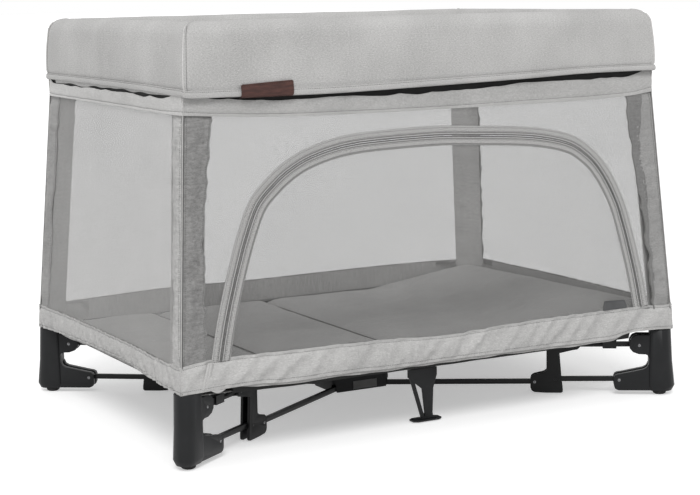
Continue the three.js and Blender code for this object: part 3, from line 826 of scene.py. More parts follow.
def bandLining(side, end):
    # A smooth strip of the mattress's cloth inside the band, clear of the posts when the frame folds.
    low = bandSize["liningLow"]

    def at(u, v):
        z = low + (lineOf(bandLine, side, u) - low - 0.001) * v
        return onWall(side, u, z, ripple(u, z, 5, 0.08, 0.0010) - bandSize["liningIn"])

    across, shares = steps(-end, end, 0.012), steps(0, 1, 0.25)
    return gridPiece(f"{side}_band_lining", across, shares, at, "pad", 0.0008, (1, 0.045))


hemStrip = {"level": 0.13, "short": 0.095, "drop": 0.0048, "uneven": 0.0022, "under": 0.006, "in": 0.0022}


def foldedEdge(side):
    # The hem's turned-under strip, a little darker and set back.
    size = hemStrip
    end = endAt(side, size["level"]) - size["short"]

    def at(u, v):
        drop = size["drop"] * ease(end - abs(u), 0, 0.05) + ripple(u, 5, 0, 0.05, size["uneven"])
        z = lineOf(hemLine, side, u) - drop * (1 - v) + size["under"] * v
        return onWall(side, u, z, -size["in"] - 0.0006 * v)

    across = steps(-end, end, 0.006)
    return gridPiece(f"{side}_folded_hem", across, [0, 0.5, 1], at, "binding", 0.001, (1, 0.01)), end


upperSize = {"level": 0.59, "over": 0.0014, "proud": 0.0030, "thick": 0.0020, "cell": 0.0045, "seam": 0.17}


def upperBand(side):
    # Runs from corner to corner over the tops of the sleeves.
    size = upperSize
    end = endAt(side, size["level"]) + size["over"]

    def at(u, v, lift=0.0):
        low = lineOf(upperLow, side, u)
        high = lineOf(upperHigh, side, u) + crease(u, sides[side]["turn"], 2, 0.065, 0.0060)
        z = low + (high - low) * v
        folds = crease(u - z, z, 1, 0.05, 0.0050) * v + crease(u + 0.8 * z, z, 4, 0.017, 0.0030) * v
        out = size["proud"] - 0.0009 * ridge(v, size["seam"], 0.045) + ripple(u, z, 7, 0.03, 0.0010) + folds
        return onWall(side, leanIn(side, u, z, size["level"]), z, out + lift)

    across = steps(-end, end, size["cell"])
    shares = [0, 0.04, 0.09, 0.13, size["seam"], 0.21, 0.26, 0.36, 0.5, 0.65, 0.8, 0.92, 1]
    # the long sides take the shaded copy and the short sides the lit copy, as painted light and shade
    look = "upper" if sides[side]["long"] else "upperSide"
    band = gridPiece(f"{side}_upper_band", across, shares, at, look, size["thick"], (1, 0.04))
    return sewn(band, side, [[at(u, size["seam"], 0.0002) for u in across]]), end


hookSize = {"top": 0.674, "under": 0.006, "thick": 0.0014}


def hookStrip(side):
    # Black strip that fastens the padded cover to the wall.
    top = hookSize["top"]
    half = endAt(side, top)

    def at(u, v):
        low = lineOf(upperHigh, side, u) - hookSize["under"]
        z = low + (top - low) * v
        return onWall(side, u * endAt(side, z) / half, z, 0.0006 + ripple(u, z, 2, 0.04, 0.0008))

    across = steps(-half, half, 0.015)
    return gridPiece(f"{side}_hook_strip", across, steps(0, 1, 0.15), at, "black", hookSize["thick"]), half


# how far along its wall, how far inward, where its slope ends, its height and how much its middle hangs
ledges = {
    "front": {"half": 0.412, "depth": 0.060, "slope": 0.0105, "low": 0.1188, "dip": 0.0018},
    "back": {"half": 0.420, "depth": 0.060, "slope": 0.0105, "low": 0.1188, "dip": 0},
    "right": {"half": 0.300, "depth": 0.032, "slope": 0.0105, "low": 0.1188, "dip": 0},
    "left": {"half": 0.318, "depth": 0.0225, "slope": 0.0225, "low": 0.1265, "dip": 0},
}
ledgeRim = 0.0045


def floorLedge(side):
    # Black cloth round and under the mattress, sewn to the wall's hem.
    size, half = ledges[side], ledges[side]["half"]
    face = faceAt(side, wallSize["hemZ"])

    def at(u, v):
        sag = ripple(u, v, 4, 0.05, 0.0008) - size["dip"] * (1 - ease(abs(u), 0.25, 0.40))
        rise = (lineOf(hemLine, side, u) + 0.003 - size["low"]) * (1 - ease(v, ledgeRim, size["slope"]))
        return turned(side, u, -face + v, size["low"] + rise + sag)

    shares = (1, 0.8, 0.6, 0.4, 0.2, 0.1, 0.05, 0)
    inward = [ledgeRim + (size["depth"] - ledgeRim) * share for share in shares]
    return gridPiece(f"{side}_ledge", steps(half, -half, 0.02), inward, at, "black", 0.0012), half


sleeveSize = {"low": 0.166, "high": 0.590, "liningLow": 0.135, "liningHigh": 0.672, "thick": 0.0018}


def sleeveStrip(name, side, end):
    # One half of a sleeve, from the corner's seam to where it is sewn to the net.
    low, high = sleeveSize["low"], sleeveSize["high"]
    shares = [0, 0.04, 0.12, 0.22, 0.34, 0.48, 0.62, 0.76, 0.9, 1]

    def at(share, z):
        ragged = crease(z, end, sides[side]["turn"], 0.032, 0.0110) * ease(share, 0.3, 1)
        u = end * (endAt(side, z) - share * (sleeveWidth[(side, end)](z) + ragged))
        tuck = ease(z, low + 0.006, low + 0.034) * (1 - ease(z, high - 0.030, high - 0.008))
        crown = 0.0034 * math.sin(math.pi * min(1, share / 0.66)) ** 0.8
        belly = math.sin(math.pi * share)
        folds = crease(u * 0.6, z + end * u, end, 0.036, 0.0065) * belly
        folds += crease(z - 0.7 * u * end, u * 0.35, 8 + end, 0.013, 0.0045) * belly
        folds += crease(z + 0.3 * u, u * 0.3, 5 + end, 0.0065, 0.0028) * belly
        valley = -0.0026 * ridge(share, 0.72, 0.06)
        return onWall(side, u, z, -0.0006 + tuck * (0.0012 + crown + folds + valley))

    def onTurn(part, z):
        start = sleeveTurn[(side, end)](z) + ripple(z, 2, 3, 0.09, 0.12)
        rise = 0.0010 + 0.0008 * ease(part, 0, 0.25)
        return at(start + (1.004 - start) * part, z) + outwards(side) * rise

    order, look = shares[::-1] if end > 0 else shares, sleeveLook.get((side, end), "sleeve")
    strip = gridPiece(name, order, steps(low, high, 0.003), at, look, sleeveSize["thick"], (0.05, 1))
    if (side, end) in sleeveTurn:
        heights = steps(low, high, 0.004)
        # the turned edge is made in a darker copy of the sleeve cloth, painted shade
        turn = gridPiece(f"{name}_turn", steps(1, 0, 0.2), heights, onTurn, "sleeveDark", 0.0010, (0.03, 1))
        strip = joinPieces(name, [strip, turn])
    heights, lift = steps(low + 0.01, high - 0.01, 0.006), outwards(side) * 0.0003
    return sewn(strip, side, [[at(share, z) + lift for z in heights] for share in (0.11, 0.93)])


# (distance along the one wall, along the other) from the corner, round the inside of the post
postWrap = [
    (0.0025, 0.041), (0.008, 0.0375), (0.017, 0.0315), (0.0265, 0.0265), (0.0315, 0.017), (0.040, 0.009),
    (0.050, 0.0025),
]


def sleeveLining(corner, first):
    # The cloth seen from inside the pen, wrapped round the post. Its cloth is paler than the sleeves', partly
    # painted light for the light that comes in through the nets.
    def at(i, z):
        along, inward = postWrap[i]
        pull = crease(z, i * 0.006, 4, 0.022, 0.006) if 0 < i < len(postWrap) - 1 else 0
        return onWall(first, endAt(first, z) - along - pull * 0.5, z, -inward - pull * 0.5)

    order = list(range(len(postWrap)))
    heights = steps(sleeveSize["liningLow"], sleeveSize["liningHigh"], 0.006)
    return gridPiece(f"{corner}_lining", order, heights, at, "lining", 0.0010, (0.012, 1))


# radius, how far out from the corner, how far round from it, and finish
pipingRows = {
    # the two dark cords beside the piping are painted shadow in the seam's gap
    "piping": (0.0011, 0.0012, 0.0004, "band"), "seam_before": (0.0009, 0.0010, -0.0016, "thread"),
    "seam_after": (0.0008, 0.0012, 0.0026, "thread"),
}


def cornerPiping(corner, first):
    # A pale cord in the corner seam, with a dark cord on each side of it as painted shadow in the seam's gap.
    heights = steps(0.129, 0.614, 0.02)
    cords = []
    for name, (radius, out, shift, look) in pipingRows.items():
        beside = turned(first, min(shift, 0), max(shift, 0), 0)
        line = [onWall(first, endAt(first, z) + out, z, out) + beside for z in heights]
        cords.append(tubePiece(f"{corner}_{name}", line, radius, look))
    return cords


def sleeve(corner):
    # Two strips meet at the corner seam and cover the post.
    (first, second), body = corners[corner]
    strips = [sleeveStrip(f"{corner}_{side}_sleeve", side, end) for side, end in ((first, 1), (second, -1))]
    strips += [sleeveLining(corner, first), *cornerPiping(corner, first)]
    return fixTo(joinPieces(f"{corner}_sleeve", strips), body)


zipDoor = {
    "tapeHalf": 0.0174, "gap": 0.0005, "lift": 0.0012, "thick": 0.0016, "bottom": 0.1786, "curveSteps": 6,
    "teeth": {"Pitch": 0.0021, "Along": 0.0007, "Across": 0.0012, "Proud": 0.0007},
    "stitchRows": (0.0074, 0.0142), "hemLow": 0.1680, "hemHigh": 0.1712, "foldHalf": 0.44,
    "cut": (0.86, 0.335), "cutArea": 0.245,
}
zipPoints = [
    (-434, 177), (-421, 235), (-401, 304), (-378, 371), (-353, 426), (-322, 458), (-289, 482), (-245, 502),
    (-178, 517), (-93, 522), (11, 523), (86, 519), (177, 513), (231, 506), (278, 495), (307, 481), (340, 454),
    (368, 415), (389, 371), (406, 314), (423, 243), (435, 177),
]


def smoothLine(points, between):
    # More points on a smooth curve through the given ones.
    spots = [Vector((x / 1000, z / 1000)) for x, z in points]
    line = []
    for i in range(len(spots) - 1):
        before, a, b, after = (spots[min(max(k, 0), len(spots) - 1)] for k in (i - 1, i, i + 1, i + 2))
        for n in range(between):
            t = n / between
            line.append(0.5 * (2 * a + (b - before) * t + (2 * before - 5 * a + 4 * b - after) * t**2
                               + (3 * a - before - 3 * b + after) * t**3))
    return line + [spots[-1]]


zipLine = smoothLine(zipPoints, zipDoor["curveSteps"])
zipLength = [0.0]
for before, after in zip(zipLine, zipLine[1:]):
    zipLength.append(zipLength[-1] + (after - before).length)


def besideZip(i, distance):
    # distance is outwards from the arch
    low, high = zipLine[max(i - 1, 0)], zipLine[min(i + 1, len(zipLine) - 1)]
    along = (high - low).normalized()
    return zipLine[i] + Vector((-along.y, along.x)) * distance


def zipRibbon(name, sign):
    # One half of the zip strip: a tape with a row of teeth, and raised lines beside it.
    size, rows = zipDoor, list(range(len(zipLine)))
    distances = [
        size["gap"], 0.0011, 0.0015, 0.0023, 0.0031, 0.0042, 0.0050, 0.0058, 0.0068, 0.0110, 0.0154, 0.0163,
        size["tapeHalf"],
    ]
    across = sorted((sign * d for d in distances), reverse=True)

    def at(d, i, lift=0.0):
        spot = besideZip(i, d)
        groove = min(abs(abs(d) - line) for line in tapeLook["lines"])
        raised = 0.0005 * ease(groove, 0.0002, 0.0008) - 0.0006 * ease(abs(d), 0.0156, size["tapeHalf"])
        out = size["lift"] + raised + ripple(d, zipLength[i], 0, 0.03, 0.0006) + lift
        return onWall("front", spot.x, max(spot.y, size["bottom"] - 0.002), out)

    def cloth(d, i):
        return (d, zipLength[i])

    tape = gridPiece(name, across, rows, at, "zip", size["thick"], cloth)
    line = [at(sign * 0.0012, i, 0.0001) for i in rows]
    teeth = stitches(f"{name}_teeth", [line], outwards("front"), "teeth", **size["teeth"])
    tape = joinPieces(name, [tape, teeth])
    return sewn(tape, "front", [[at(sign * d, i, 0.0001) for i in rows] for d in size["stitchRows"]])


def netShape(name, edge, look):
    spots = [onWall("front", u, z, -netSize["in"]) for u, z in edge]
    return addPiece(name, spots, [tuple(range(len(edge)))], look, edge)


def frontNet():
    low, heights = netSize["low"], steps(netSize["low"], netSize["high"], 0.04)
    arch = [tuple(besideZip(i, netSize["underZip"])) for i in range(len(zipLine))]
    around = [(-netEdge("front", -1, low), low), (arch[0][0], low), *arch[1:-1], (arch[-1][0], low)]
    around += [(netEdge("front", 1, z), z) for z in heights]
    around += [(-netEdge("front", -1, z), z) for z in heights[:0:-1]]
    return netShape("front_net", around, "net")


def doorPieces():
    inner = [tuple(besideZip(i, -netSize["underZip"])) for i in range(len(zipLine))]
    low = zipDoor["hemLow"] + 0.001
    around = [(inner[0][0], low), *[p for p in inner if p[1] > low + 0.004], (inner[-1][0], low)]
    panel = netShape("door_net", around[::-1], "doorNet")
    tape = zipRibbon("door_tape", -1)

    def at(u, z):
        return onWall("front", u, z, -0.0014 + ripple(u, z, 1, 0.02, 0.0004))

    across = steps(zipLine[0].x + 0.006, zipLine[-1].x - 0.006, 0.01)
    heights = steps(zipDoor["hemLow"], zipDoor["hemHigh"], 0.001)
    return panel, tape, gridPiece("door_hem", across, heights, at, "binding", 0.0008)


# the ring that the padded cover makes, its outline over the rail, and its corners
coverSize = {
    "hemX": 0.4785, "hemY": 0.3335, "hem": 0.61, "shoulder": 0.705, "radius": 0.0285, "innerLow": 0.622,
    "inset": 0.0045, "thick": 0.0032, "cut": 0.286, "cornerReach": 0.064, "cornerRound": 0.008,
    "cornerArea": 0.0255, "binding": 0.0105, "bindingThick": 0.0008, "bindingSeam": 7,
    "rails": {
        "front": ["long_rail_front_left", "long_rail_front_right"],
        "right": ["short_rail_front_right", "short_rail_back_right"],
        "back": ["long_rail_back_left", "long_rail_back_right"],
        "left": ["short_rail_front_left", "short_rail_back_left"],
    },
}
coverHem = {
    "front": track(
        (-0.48, 0.610), (-0.41, 0.610), (-0.226, 0.6075), (-0.034, 0.611), (0.204, 0.617), (0.331, 0.621),
        (0.475, 0.621),
    ),
    "right": track((-0.3335, 0.620), (0.0, 0.618), (0.3335, 0.616)),
    "back": track((-0.4785, 0.616), (0.4785, 0.618)),
    "left": track(
        (-0.316, 0.619), (-0.007, 0.618), (0.138, 0.617), (0.206, 0.616), (0.272, 0.614), (0.329, 0.612),
    ),
}


def ringHalf(side):
    size = coverSize
    return (size["hemX"], size["hemY"]) if sides[side]["long"] else (size["hemY"], size["hemX"])


def coverSection(hem):
    # (inset, height) from the hem up, over the rail and down inside
    size, section = coverSize, []
    shoulder, radius = size["shoulder"], size["radius"]
    for share in (0, 0.04, 0.09, 0.12, 0.15, 0.20, 0.34, 0.46, 0.6, 0.74, 0.88):
        swell = 0.0016 * math.sin(math.pi * share) - 0.0020 * ridge(share, 0.12, 0.03)
        section.append((size["inset"] * share - swell, hem + (shoulder - hem) * share))
    middle = size["inset"] + radius
    for i in range(13):
        angle = math.pi * i / 12
        section.append((middle - radius * math.cos(angle), shoulder + radius * math.sin(angle)))
    for share in (0.35, 0.7, 1):
        section.append((middle + radius, shoulder + (size["innerLow"] - shoulder) * share))
    return section


def bindingSection(hem):
    # A folded edge tape round the hem.
    high = coverSize["binding"]
    return [
        (0.0052, hem + 0.007), (0.0050, hem + 0.001), (0.0034, hem - 0.0008), (0.0010, hem - 0.0010),
        (-0.0012, hem + 0.0004), (-0.0017, hem + high * 0.35), (-0.0014, hem + high * 0.72),
        (-0.0006, hem + high * 0.86), (0.0008, hem + high),
    ]


def sectionLength(section, row):
    line = [Vector(spot) for spot in section(coverSize["hem"])[:row + 1]]
    return sum((b - a).length for a, b in zip(line, line[1:]))


def rowsOf(section):
    return list(range(len(section(coverSize["hem"]))))


def isInside(section, row):
    # the cover's last nine rows lie against the rail and stay flat
    return section is coverSection and row > len(rowsOf(section)) - 10


def coverFold(x, y, z):
    # Shallow sags in the padded cloth, and one place where it is pulled.
    near = 1 - ease(abs(z - 0.62), 0.0, 0.04)
    pull = ridge(x, -0.36, 0.045) * ridge(z, 0.634, 0.016) if y < 0 else 0
    folds = ripple(x, y, z, 0.11, 0.0026) + ripple(x, y, z * 0.4, 0.028, 0.0013) * (0.3 + near)
    return folds + crease(x + z, z - x, 0, 0.016, 0.0045) * pull


def onRing(side, u, inward, z):
    return turned(side, u, -(ringHalf(side)[1] - inward), z)


def coverSpan(side, section, look, thickness):
    half = ringHalf(side)[0] - coverSize["cornerReach"]
    across = steps(-half, half, 0.009)

    def at(u, row, lift=0.0):
        inset, z = section(coverHem[side](u))[row]
        out = coverFold(*onRing(side, u, 0, z))
        z += out * 0.5 if z > coverSize["shoulder"] else 0
        return onRing(side, u, inset - (0 if isInside(section, row) else out) - lift, z)

    def cloth(u, row):
        return (u if sides[side]["long"] else u * 0.5, sectionLength(section, row))

    piece = gridPiece(f"{side}_{look}", across, rowsOf(section), at, look, thickness, cloth)
    if section is bindingSection:
        piece = sewn(piece, side, [[at(u, coverSize["bindingSeam"], 0.0003) for u in across]])
    return piece, half


def coverCorner(corner, section, look, thickness):
    # Two cloths meet in a raised seam on the corner, with a pale cord along it and a row of stitches on one
    # side of it.
    (first, second), _ = corners[corner]
    reach, curve = coverSize["cornerReach"], coverSize["cornerRound"]
    shares = [0, 0.35, 0.6, 0.75, 0.85, 0.91, 0.96]
    # the part of the corner, the share of it that is passed, and the way it faces
    spots = [("first", s, 0) for s in shares] + [("bend", i / 8, math.pi / 2 * i / 8) for i in range(9)]
    spots += [("second", 1 - s, math.pi / 2) for s in shares[::-1]]
    last, middle = len(spots) - 1, len(shares) + 4
    endA, endB = ringHalf(first)[0], ringHalf(second)[0]
    hemA, hemB = coverHem[first](endA - reach), coverHem[second](-(endB - reach))

    def at(index, row, lift=0.0):
        kind, share, angle = spots[index]
        inset, z = section(hemA + (hemB - hemA) * ease(index, 0, last))[row]
        bend = max(0.002, curve - max(0, inset) * 0.35)
        before = (reach - inset - bend) * (1 - share) if kind == "first" else 0
        after = (reach - inset - bend) * share if kind == "second" else 0
        along = endA - inset - bend + bend * math.sin(angle) - before
        spot = onRing(first, along, inset + bend - bend * math.cos(angle) + after, z)
        away = bend * abs(angle - math.pi / 4) + before + after
        seam = 0.0019 * ridge(away, 0, 0.0018) - 0.0012 * ridge(away, 0.0052, 0.0020)
        out = 0 if isInside(section, row) else coverFold(*spot) + seam + lift
        push = turned(first, math.sin(angle), -math.cos(angle), 0) * out
        return spot + push + Vector((0, 0, out * 0.5 if z > coverSize["shoulder"] else 0))

    def cloth(index, row):
        kind, share, _ = spots[index]
        flat, turn = reach - curve, curve * math.pi / 2
        start, size = {"first": (0, flat), "bend": (flat, turn), "second": (flat + turn, flat)}[kind]
        return (start + size * share, sectionLength(section, row))

    order = list(range(len(spots)))
    piece = gridPiece(f"{corner}_{look}", order, rowsOf(section), at, look, thickness, cloth)
    if section is bindingSection:
        return sewn(piece, first, [[at(i, coverSize["bindingSeam"], 0.0003) for i in order]])
    line = [at(middle, row, 0.0002) for row in range(1, 15)]
    piece = joinPieces(piece.name, [piece, tubePiece(f"{corner}_cover_cord", line, 0.0011, "cord")])
    return sewn(piece, second, [[at(middle + 3, row, 0.0003) for row in range(2, 15)]], Pitch=0.0026)


lipSize = {"short": 0.045, "low": 0.6130, "high": 0.628, "wave": 0.0050, "in": 0.0026, "thick": 0.0010}


def coverLip(side):
    # The lining's lower edge, showing in waves under a short side's cover.
    size = lipSize
    half = ringHalf(side)[0] - size["short"]

    def at(u, v):
        low = size["low"] + ripple(u, 3, 1, 0.060, size["wave"])
        return onRing(side, u, size["in"] - 0.0010 * math.sin(math.pi * v), low + (size["high"] - low) * v)

    across, shares = steps(-half, half, 0.006), steps(0, 1, 0.25)
    return gridPiece(f"{side}_cover_lip", across, shares, at, "band", size["thick"], (1, 0.015))


def addCover():
    size = coverSize
    for side in sides:
        cloth, half = coverSpan(side, coverSection, "cover", size["thick"])
        edge, _ = coverSpan(side, bindingSection, "binding", size["bindingThick"])
        parts = [cloth, edge] if sides[side]["long"] else [cloth, edge, coverLip(side)]
        piece = joinPieces(f"{side}_cover_cloth", parts)
        crumple(piece, side, half)
        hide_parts(f"{side}_cover")
        2 * half
    for corner, (_, body) in corners.items():
        cloth = coverCorner(corner, coverSection, "cover", size["thick"])
        edge = coverCorner(corner, bindingSection, "binding", size["bindingThick"])
        piece = fixTo(joinPieces(f"{corner}_cover_cloth", [cloth, edge]), body)


tagSize = {
    "left": -0.377, "right": -0.281, "low": 0.6062, "high": (0.6285, 0.6330), "proud": 0.0042,
    "thick": 0.0016, "stitch": {"Pitch": 0.0031, "Along": 0.0011},
}


def leatherTag():
    # A strip folded round the cover's hem, sewn along its top edge, and left bare.
    size, low, face = tagSize, tagSize["low"], -tagSize["proud"]

    def at(u, row, lift=0.0):
        share = (u - size["left"]) / (size["right"] - size["left"])
        fromEnd = 0.5 - abs(share - 0.5)
        high = size["high"][0] + (size["high"][1] - size["high"][0]) * share
        section = [
            (0.0052, low + 0.008), (0.0050, low + 0.0030), (0.0040, low + 0.0010), (0.0022, low),
            (0.0002, low + 0.0005), (face, low + 0.0024), (face - 0.0010, low + 0.0070),
            (face - 0.0008, low + 0.0130), (face + 0.0004, high - 0.0042), (face + 0.0007, high - 0.0032),
            (face + 0.0004, high - 0.0022),
            (face + 0.0002, high - 0.0016 * (1 - min(1, fromEnd / 0.02)) ** 2),
        ]
        inset, z = section[row]
        curl = ripple(u, z, 3, 0.03, 0.0010) - 0.0006 * (1 - ease(fromEnd, 0, 0.04))
        return onRing("front", u, inset - (curl if row > 3 else 0) - lift, z)

    across = steps(size["left"], size["right"], 0.003)
    strap = gridPiece("leather_strap", across, list(range(12)), at, "leather", size["thick"])
    strap = sewn(strap, "front", [[at(u, 9, 0.0002) for u in across[1:-1]]], "tagThread", **size["stitch"])
    fixTo(strap, "front_left_leg")
    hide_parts("leather_tag")


labelPatch = {
    "outline": [(0.346, 0.1785), (0.403, 0.1795), (0.397, 0.1945), (0.350, 0.1965)], "cornerRound": 0.003,
    # share of the outline, and how far out from the wall
    "rings": [(1.0, 0.0014), (0.99, 0.0025), (0.96, 0.0029), (0.925, 0.0029), (0.90, 0.0022), (0.5, 0.0022)],
}


def addLabel():
    # A bare moulded patch with a raised rim.
    outline, rings = [Vector(spot) for spot in labelPatch["outline"]], []
    middle = sum(outline, Vector((0, 0))) / 4
    for share, out in labelPatch["rings"]:
        ring = []
        for before, spot, after in zip(outline[-1:] + outline, outline, outline[1:] + outline[:1]):
            start = spot + (before - spot).normalized() * labelPatch["cornerRound"]
            end = spot + (after - spot).normalized() * labelPatch["cornerRound"]
            for t in (0, 0.25, 0.5, 0.75, 1):
                bend = start * (1 - t) ** 2 + spot * 2 * t * (1 - t) + end * t**2
                ring.append(middle + (bend - middle) * share)
        rings.append([onWall("front", p.x, p.y, out) for p in ring])
    patch = ringPiece("label_patch", rings, "label")
    patch.data.set_sharp_from_angle(angle=math.radians(50))
    crumple(patch, "front", zipDoor["foldHalf"], "door")


# left edge, right edge and height of the strip's two ends
garage = {"top": (-0.459, -0.449, 0.1765), "low": (-0.4725, -0.4600, 0.1335), "proud": 0.0042}
zipTab = {"middle": -0.4425, "top": 0.1300, "deep": 0.0050, "half": 0.0125, "tip": 0.0006, "proud": 0.0036}


def zipGarage():
    # The strip that hides the end of the zip, with two raised rows, and the tab beside it.
    (topLeft, topRight, high), (lowLeft, lowRight, low) = garage["top"], garage["low"]

    def at(share, v):
        left, right = lowLeft + (topLeft - lowLeft) * v, lowRight + (topRight - lowRight) * v
        out = garage["proud"] + 0.0010 * (ridge(share, 0.28, 0.12) + ridge(share, 0.72, 0.12))
        return onWall("front", left + (right - left) * share, low + (high - low) * v, out)

    def onTab(share, v):
        width = zipTab["half"] * (1 - v) ** 0.6 + zipTab["tip"]
        u, z = zipTab["middle"] + (share - 0.5) * 2 * width, zipTab["top"] - zipTab["deep"] * v
        return onWall("front", u, z, zipTab["proud"])

    across, shares = steps(0, 1, 0.08), steps(0, 1, 0.1)
    strip = gridPiece("zip_garage", across, shares, at, "binding", 0.0014, (0.011, 0.043))
    tab = gridPiece("zip_tab", steps(1, 0, 0.2), steps(0, 1, 0.2), onTab, "band", 0.0012)
    return joinPieces("zip_garage", [strip, tab])


padSize = {
    "left": -0.485, "right": 0.4985, "y": 0.342, "bottom": 0.1212, "top": 0.1345, "round": 0.020,
    "innerRound": 0.006, "crown": 0.018, "folds": (-0.265, -0.020), "softFold": 0.225, "gap": 0.0012,
    "cell": 0.0105, "rise": 8.6,  # the right end bends up by this many degrees
    "twist": 0.006, "twistOver": (0.33, 0.26),  # how far out of level it is, over its half width and length
    "wave": (0.12, 0.0080), "crease": (0.055, 0.0125),  # pitch and size of what the top's cloth does
}


def padPanel(number):
    # One panel: a flat closed slab, a little slack, whose rim is rounded.
    size = padSize
    edges = [size["left"], *size["folds"], size["right"]]
    low, high = edges[number] + size["gap"], edges[number + 1] - size["gap"]
    middle, half = (low + high) / 2, (high - low) / 2
    across, along = steps(low, high, size["cell"]), steps(-size["y"], size["y"], size["cell"])

    def fitted(x, y):
        # how far inside the rim a spot is, and the spot itself, drawn in where the rim is rounded
        side = x - middle
        outer = (side < 0 and number == 0) or (side > 0 and number == 2)
        reach = size["round"] if outer else size["innerRound"]
        dx, dy = half - abs(side), size["y"] - abs(y)
        if dx >= reach or dy >= reach:
            return max(0, min(dx, dy)), x, y
        inside = reach - math.hypot(reach - dx, reach - dy)
        if inside < 0:
            away = Vector((reach - dx, reach - dy))
            away *= reach / away.length
            x = middle + math.copysign(half - reach + away.x, side)
            y = math.copysign(size["y"] - reach + away.y, y)
        return max(0, inside), x, y

    thick, level = size["top"] - size["bottom"], (size["top"] + size["bottom"]) / 2
    spots, faces = [], []
    for face in (1, -1):
        for y in along:
            for x in across:
                inside, px, py = fitted(x, y)
                crown = math.sin(math.pi / 2 * min(1, inside / size["crown"])) ** 0.7
                crown -= 0.10 * ridge(x, size["softFold"], 0.010)
                wave = 0
                if face > 0:
                    wave = ripple(x, y, 3, *size["wave"]) + crease(y - 0.3 * x, x * 0.35, 9, *size["crease"])
                    wave *= min(1, inside / 0.05)
                spots.append((px, py, level + face * thick / 2 * (0.12 + 0.88 * crown) + wave))
    wide, deep = len(across), len(along)
    flat = wide * deep
    for row in range(deep - 1):
        for i in range(wide - 1):
            a = row * wide + i
            faces.append((a, a + 1, a + wide + 1, a + wide))
            faces.append((flat + a, flat + a + wide, flat + a + wide + 1, flat + a + 1))
    rim = list(range(wide)) + [r * wide + wide - 1 for r in range(1, deep)]
    rim += [(deep - 1) * wide + i for i in range(wide - 2, -1, -1)]
    rim += [r * wide for r in range(deep - 2, 0, -1)]
    for a, b in zip(rim, rim[1:] + rim[:1]):
        faces.append((b, a, flat + a, flat + b))
    return fixFaces(addPiece(f"mattress_panel_{number + 1}", spots, faces, "pad"))


padAir = {"quality": 4, "pressure": 4.0, "shrink": -0.012, "moments": 14, "swell": 0.0024}


def puff(panel):
    # Cloth with a little air in it, held to the room the panel has.
    before = [v.co.copy() for v in panel.data.vertices]
    cloth = panel.modifiers.new("cloth", "CLOTH")
    cloth.settings.quality = padAir["quality"]
    cloth.settings.use_pressure = True
    cloth.settings.uniform_pressure_force = padAir["pressure"]
    cloth.settings.effector_weights.gravity = 0.0
    cloth.settings.shrink_min = padAir["shrink"]
    cloth.point_cache.frame_end = padAir["moments"]
    for moment in range(padAir["moments"]):
        bpy.context.scene.frame_set(moment + 1)
    settle(panel)
    for spot, old in zip(panel.data.vertices, before):
        move = spot.co - old
        spot.co = old + move * min(1, padAir["swell"] / max(move.length, 1e-9))
    bpy.context.scene.frame_set(1)


def padBase():
    # The cloth that joins the panels underneath.
    size = padSize
    across = steps(size["left"] + 0.004, size["right"] - 0.010, 0.012)
    along = steps(0.002 - size["y"], size["y"] - 0.002, 0.012)

    def at(x, y):
        lift = max(0, max(0, x - size["softFold"]) * math.tan(math.radians(size["rise"])) - 0.0005)
        return Vector((x, y, size["bottom"] - 0.0004 + lift + ripple(x, y, 6, 0.05, 0.0004)))

    return gridPiece("mattress_base", across, along, at, "binding", 0.0006)


def addMattress():
    panels, size = [], padSize
    hinge = Vector((size["softFold"], 0, size["bottom"]))
    width, length = size["twistOver"]
    for number in range(3):
        panel = padPanel(number)
        puff(panel)
        fine = panel.modifiers.new("fine", "SUBSURF")
        fine.levels = fine.render_levels = 1
        settle(panel)
        panel.data.materials.append(looks["black"])
        for face in panel.data.polygons:
            face.material_index = 1 if face.normal.z < -0.5 else 0
        for spot in panel.data.vertices:
            offset = spot.co - hinge
            lift = math.radians(size["rise"]) - size["twist"] * spot.co.y / width / length
            spot.co = hinge + Matrix.Rotation(-lift * ease(offset.x, -0.03, 0.05), 3, "Y") @ offset
        panels.append(panel)
    pad = fixTo(joinPieces("mattress_pad", [*panels, padBase()]), "mattress")
    pad.data.shade_smooth()
    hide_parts("mattress")


edgeWork = {"flatten": 0.8, "merge": 2e-6, "level": math.radians(0.6), "edgeFrom": math.radians(38)}


def refined(node, look, bevel, extras=(), floorAt=0.0):
    # A CAD part's own shape with softened edges and smooth curves. What is under floorAt is pressed flat.
    mesh = frame["nodes"][node].data.copy()
    form = bmesh.new()
    form.from_mesh(mesh)
    for spot in form.verts:
        spot.co.z += max(0, floorAt - spot.co.z) * edgeWork["flatten"]
    bmesh.ops.remove_doubles(form, verts=form.verts, dist=edgeWork["merge"])
    bmesh.ops.dissolve_limit(form, angle_limit=edgeWork["level"], verts=form.verts, edges=form.edges)
    form.to_mesh(mesh)
    form.free()
    mesh.materials.clear()
    mesh.materials.append(looks[look])
    mesh.shade_smooth()
    piece = addObject(f"{node}_shaped", mesh)
    edge = piece.modifiers.new("edge", "BEVEL")
    edge.width = bevel
    edge.segments = 2
    edge.limit_method = "ANGLE"
    edge.angle_limit = edgeWork["edgeFrom"]
    edge.harden_normals = True
    settle(piece)
    piece["look"] = look
    if extras:
        piece = joinPieces(piece.name, [piece, *extras])
    fixTo(piece, bodyOf[node])
    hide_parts(node)


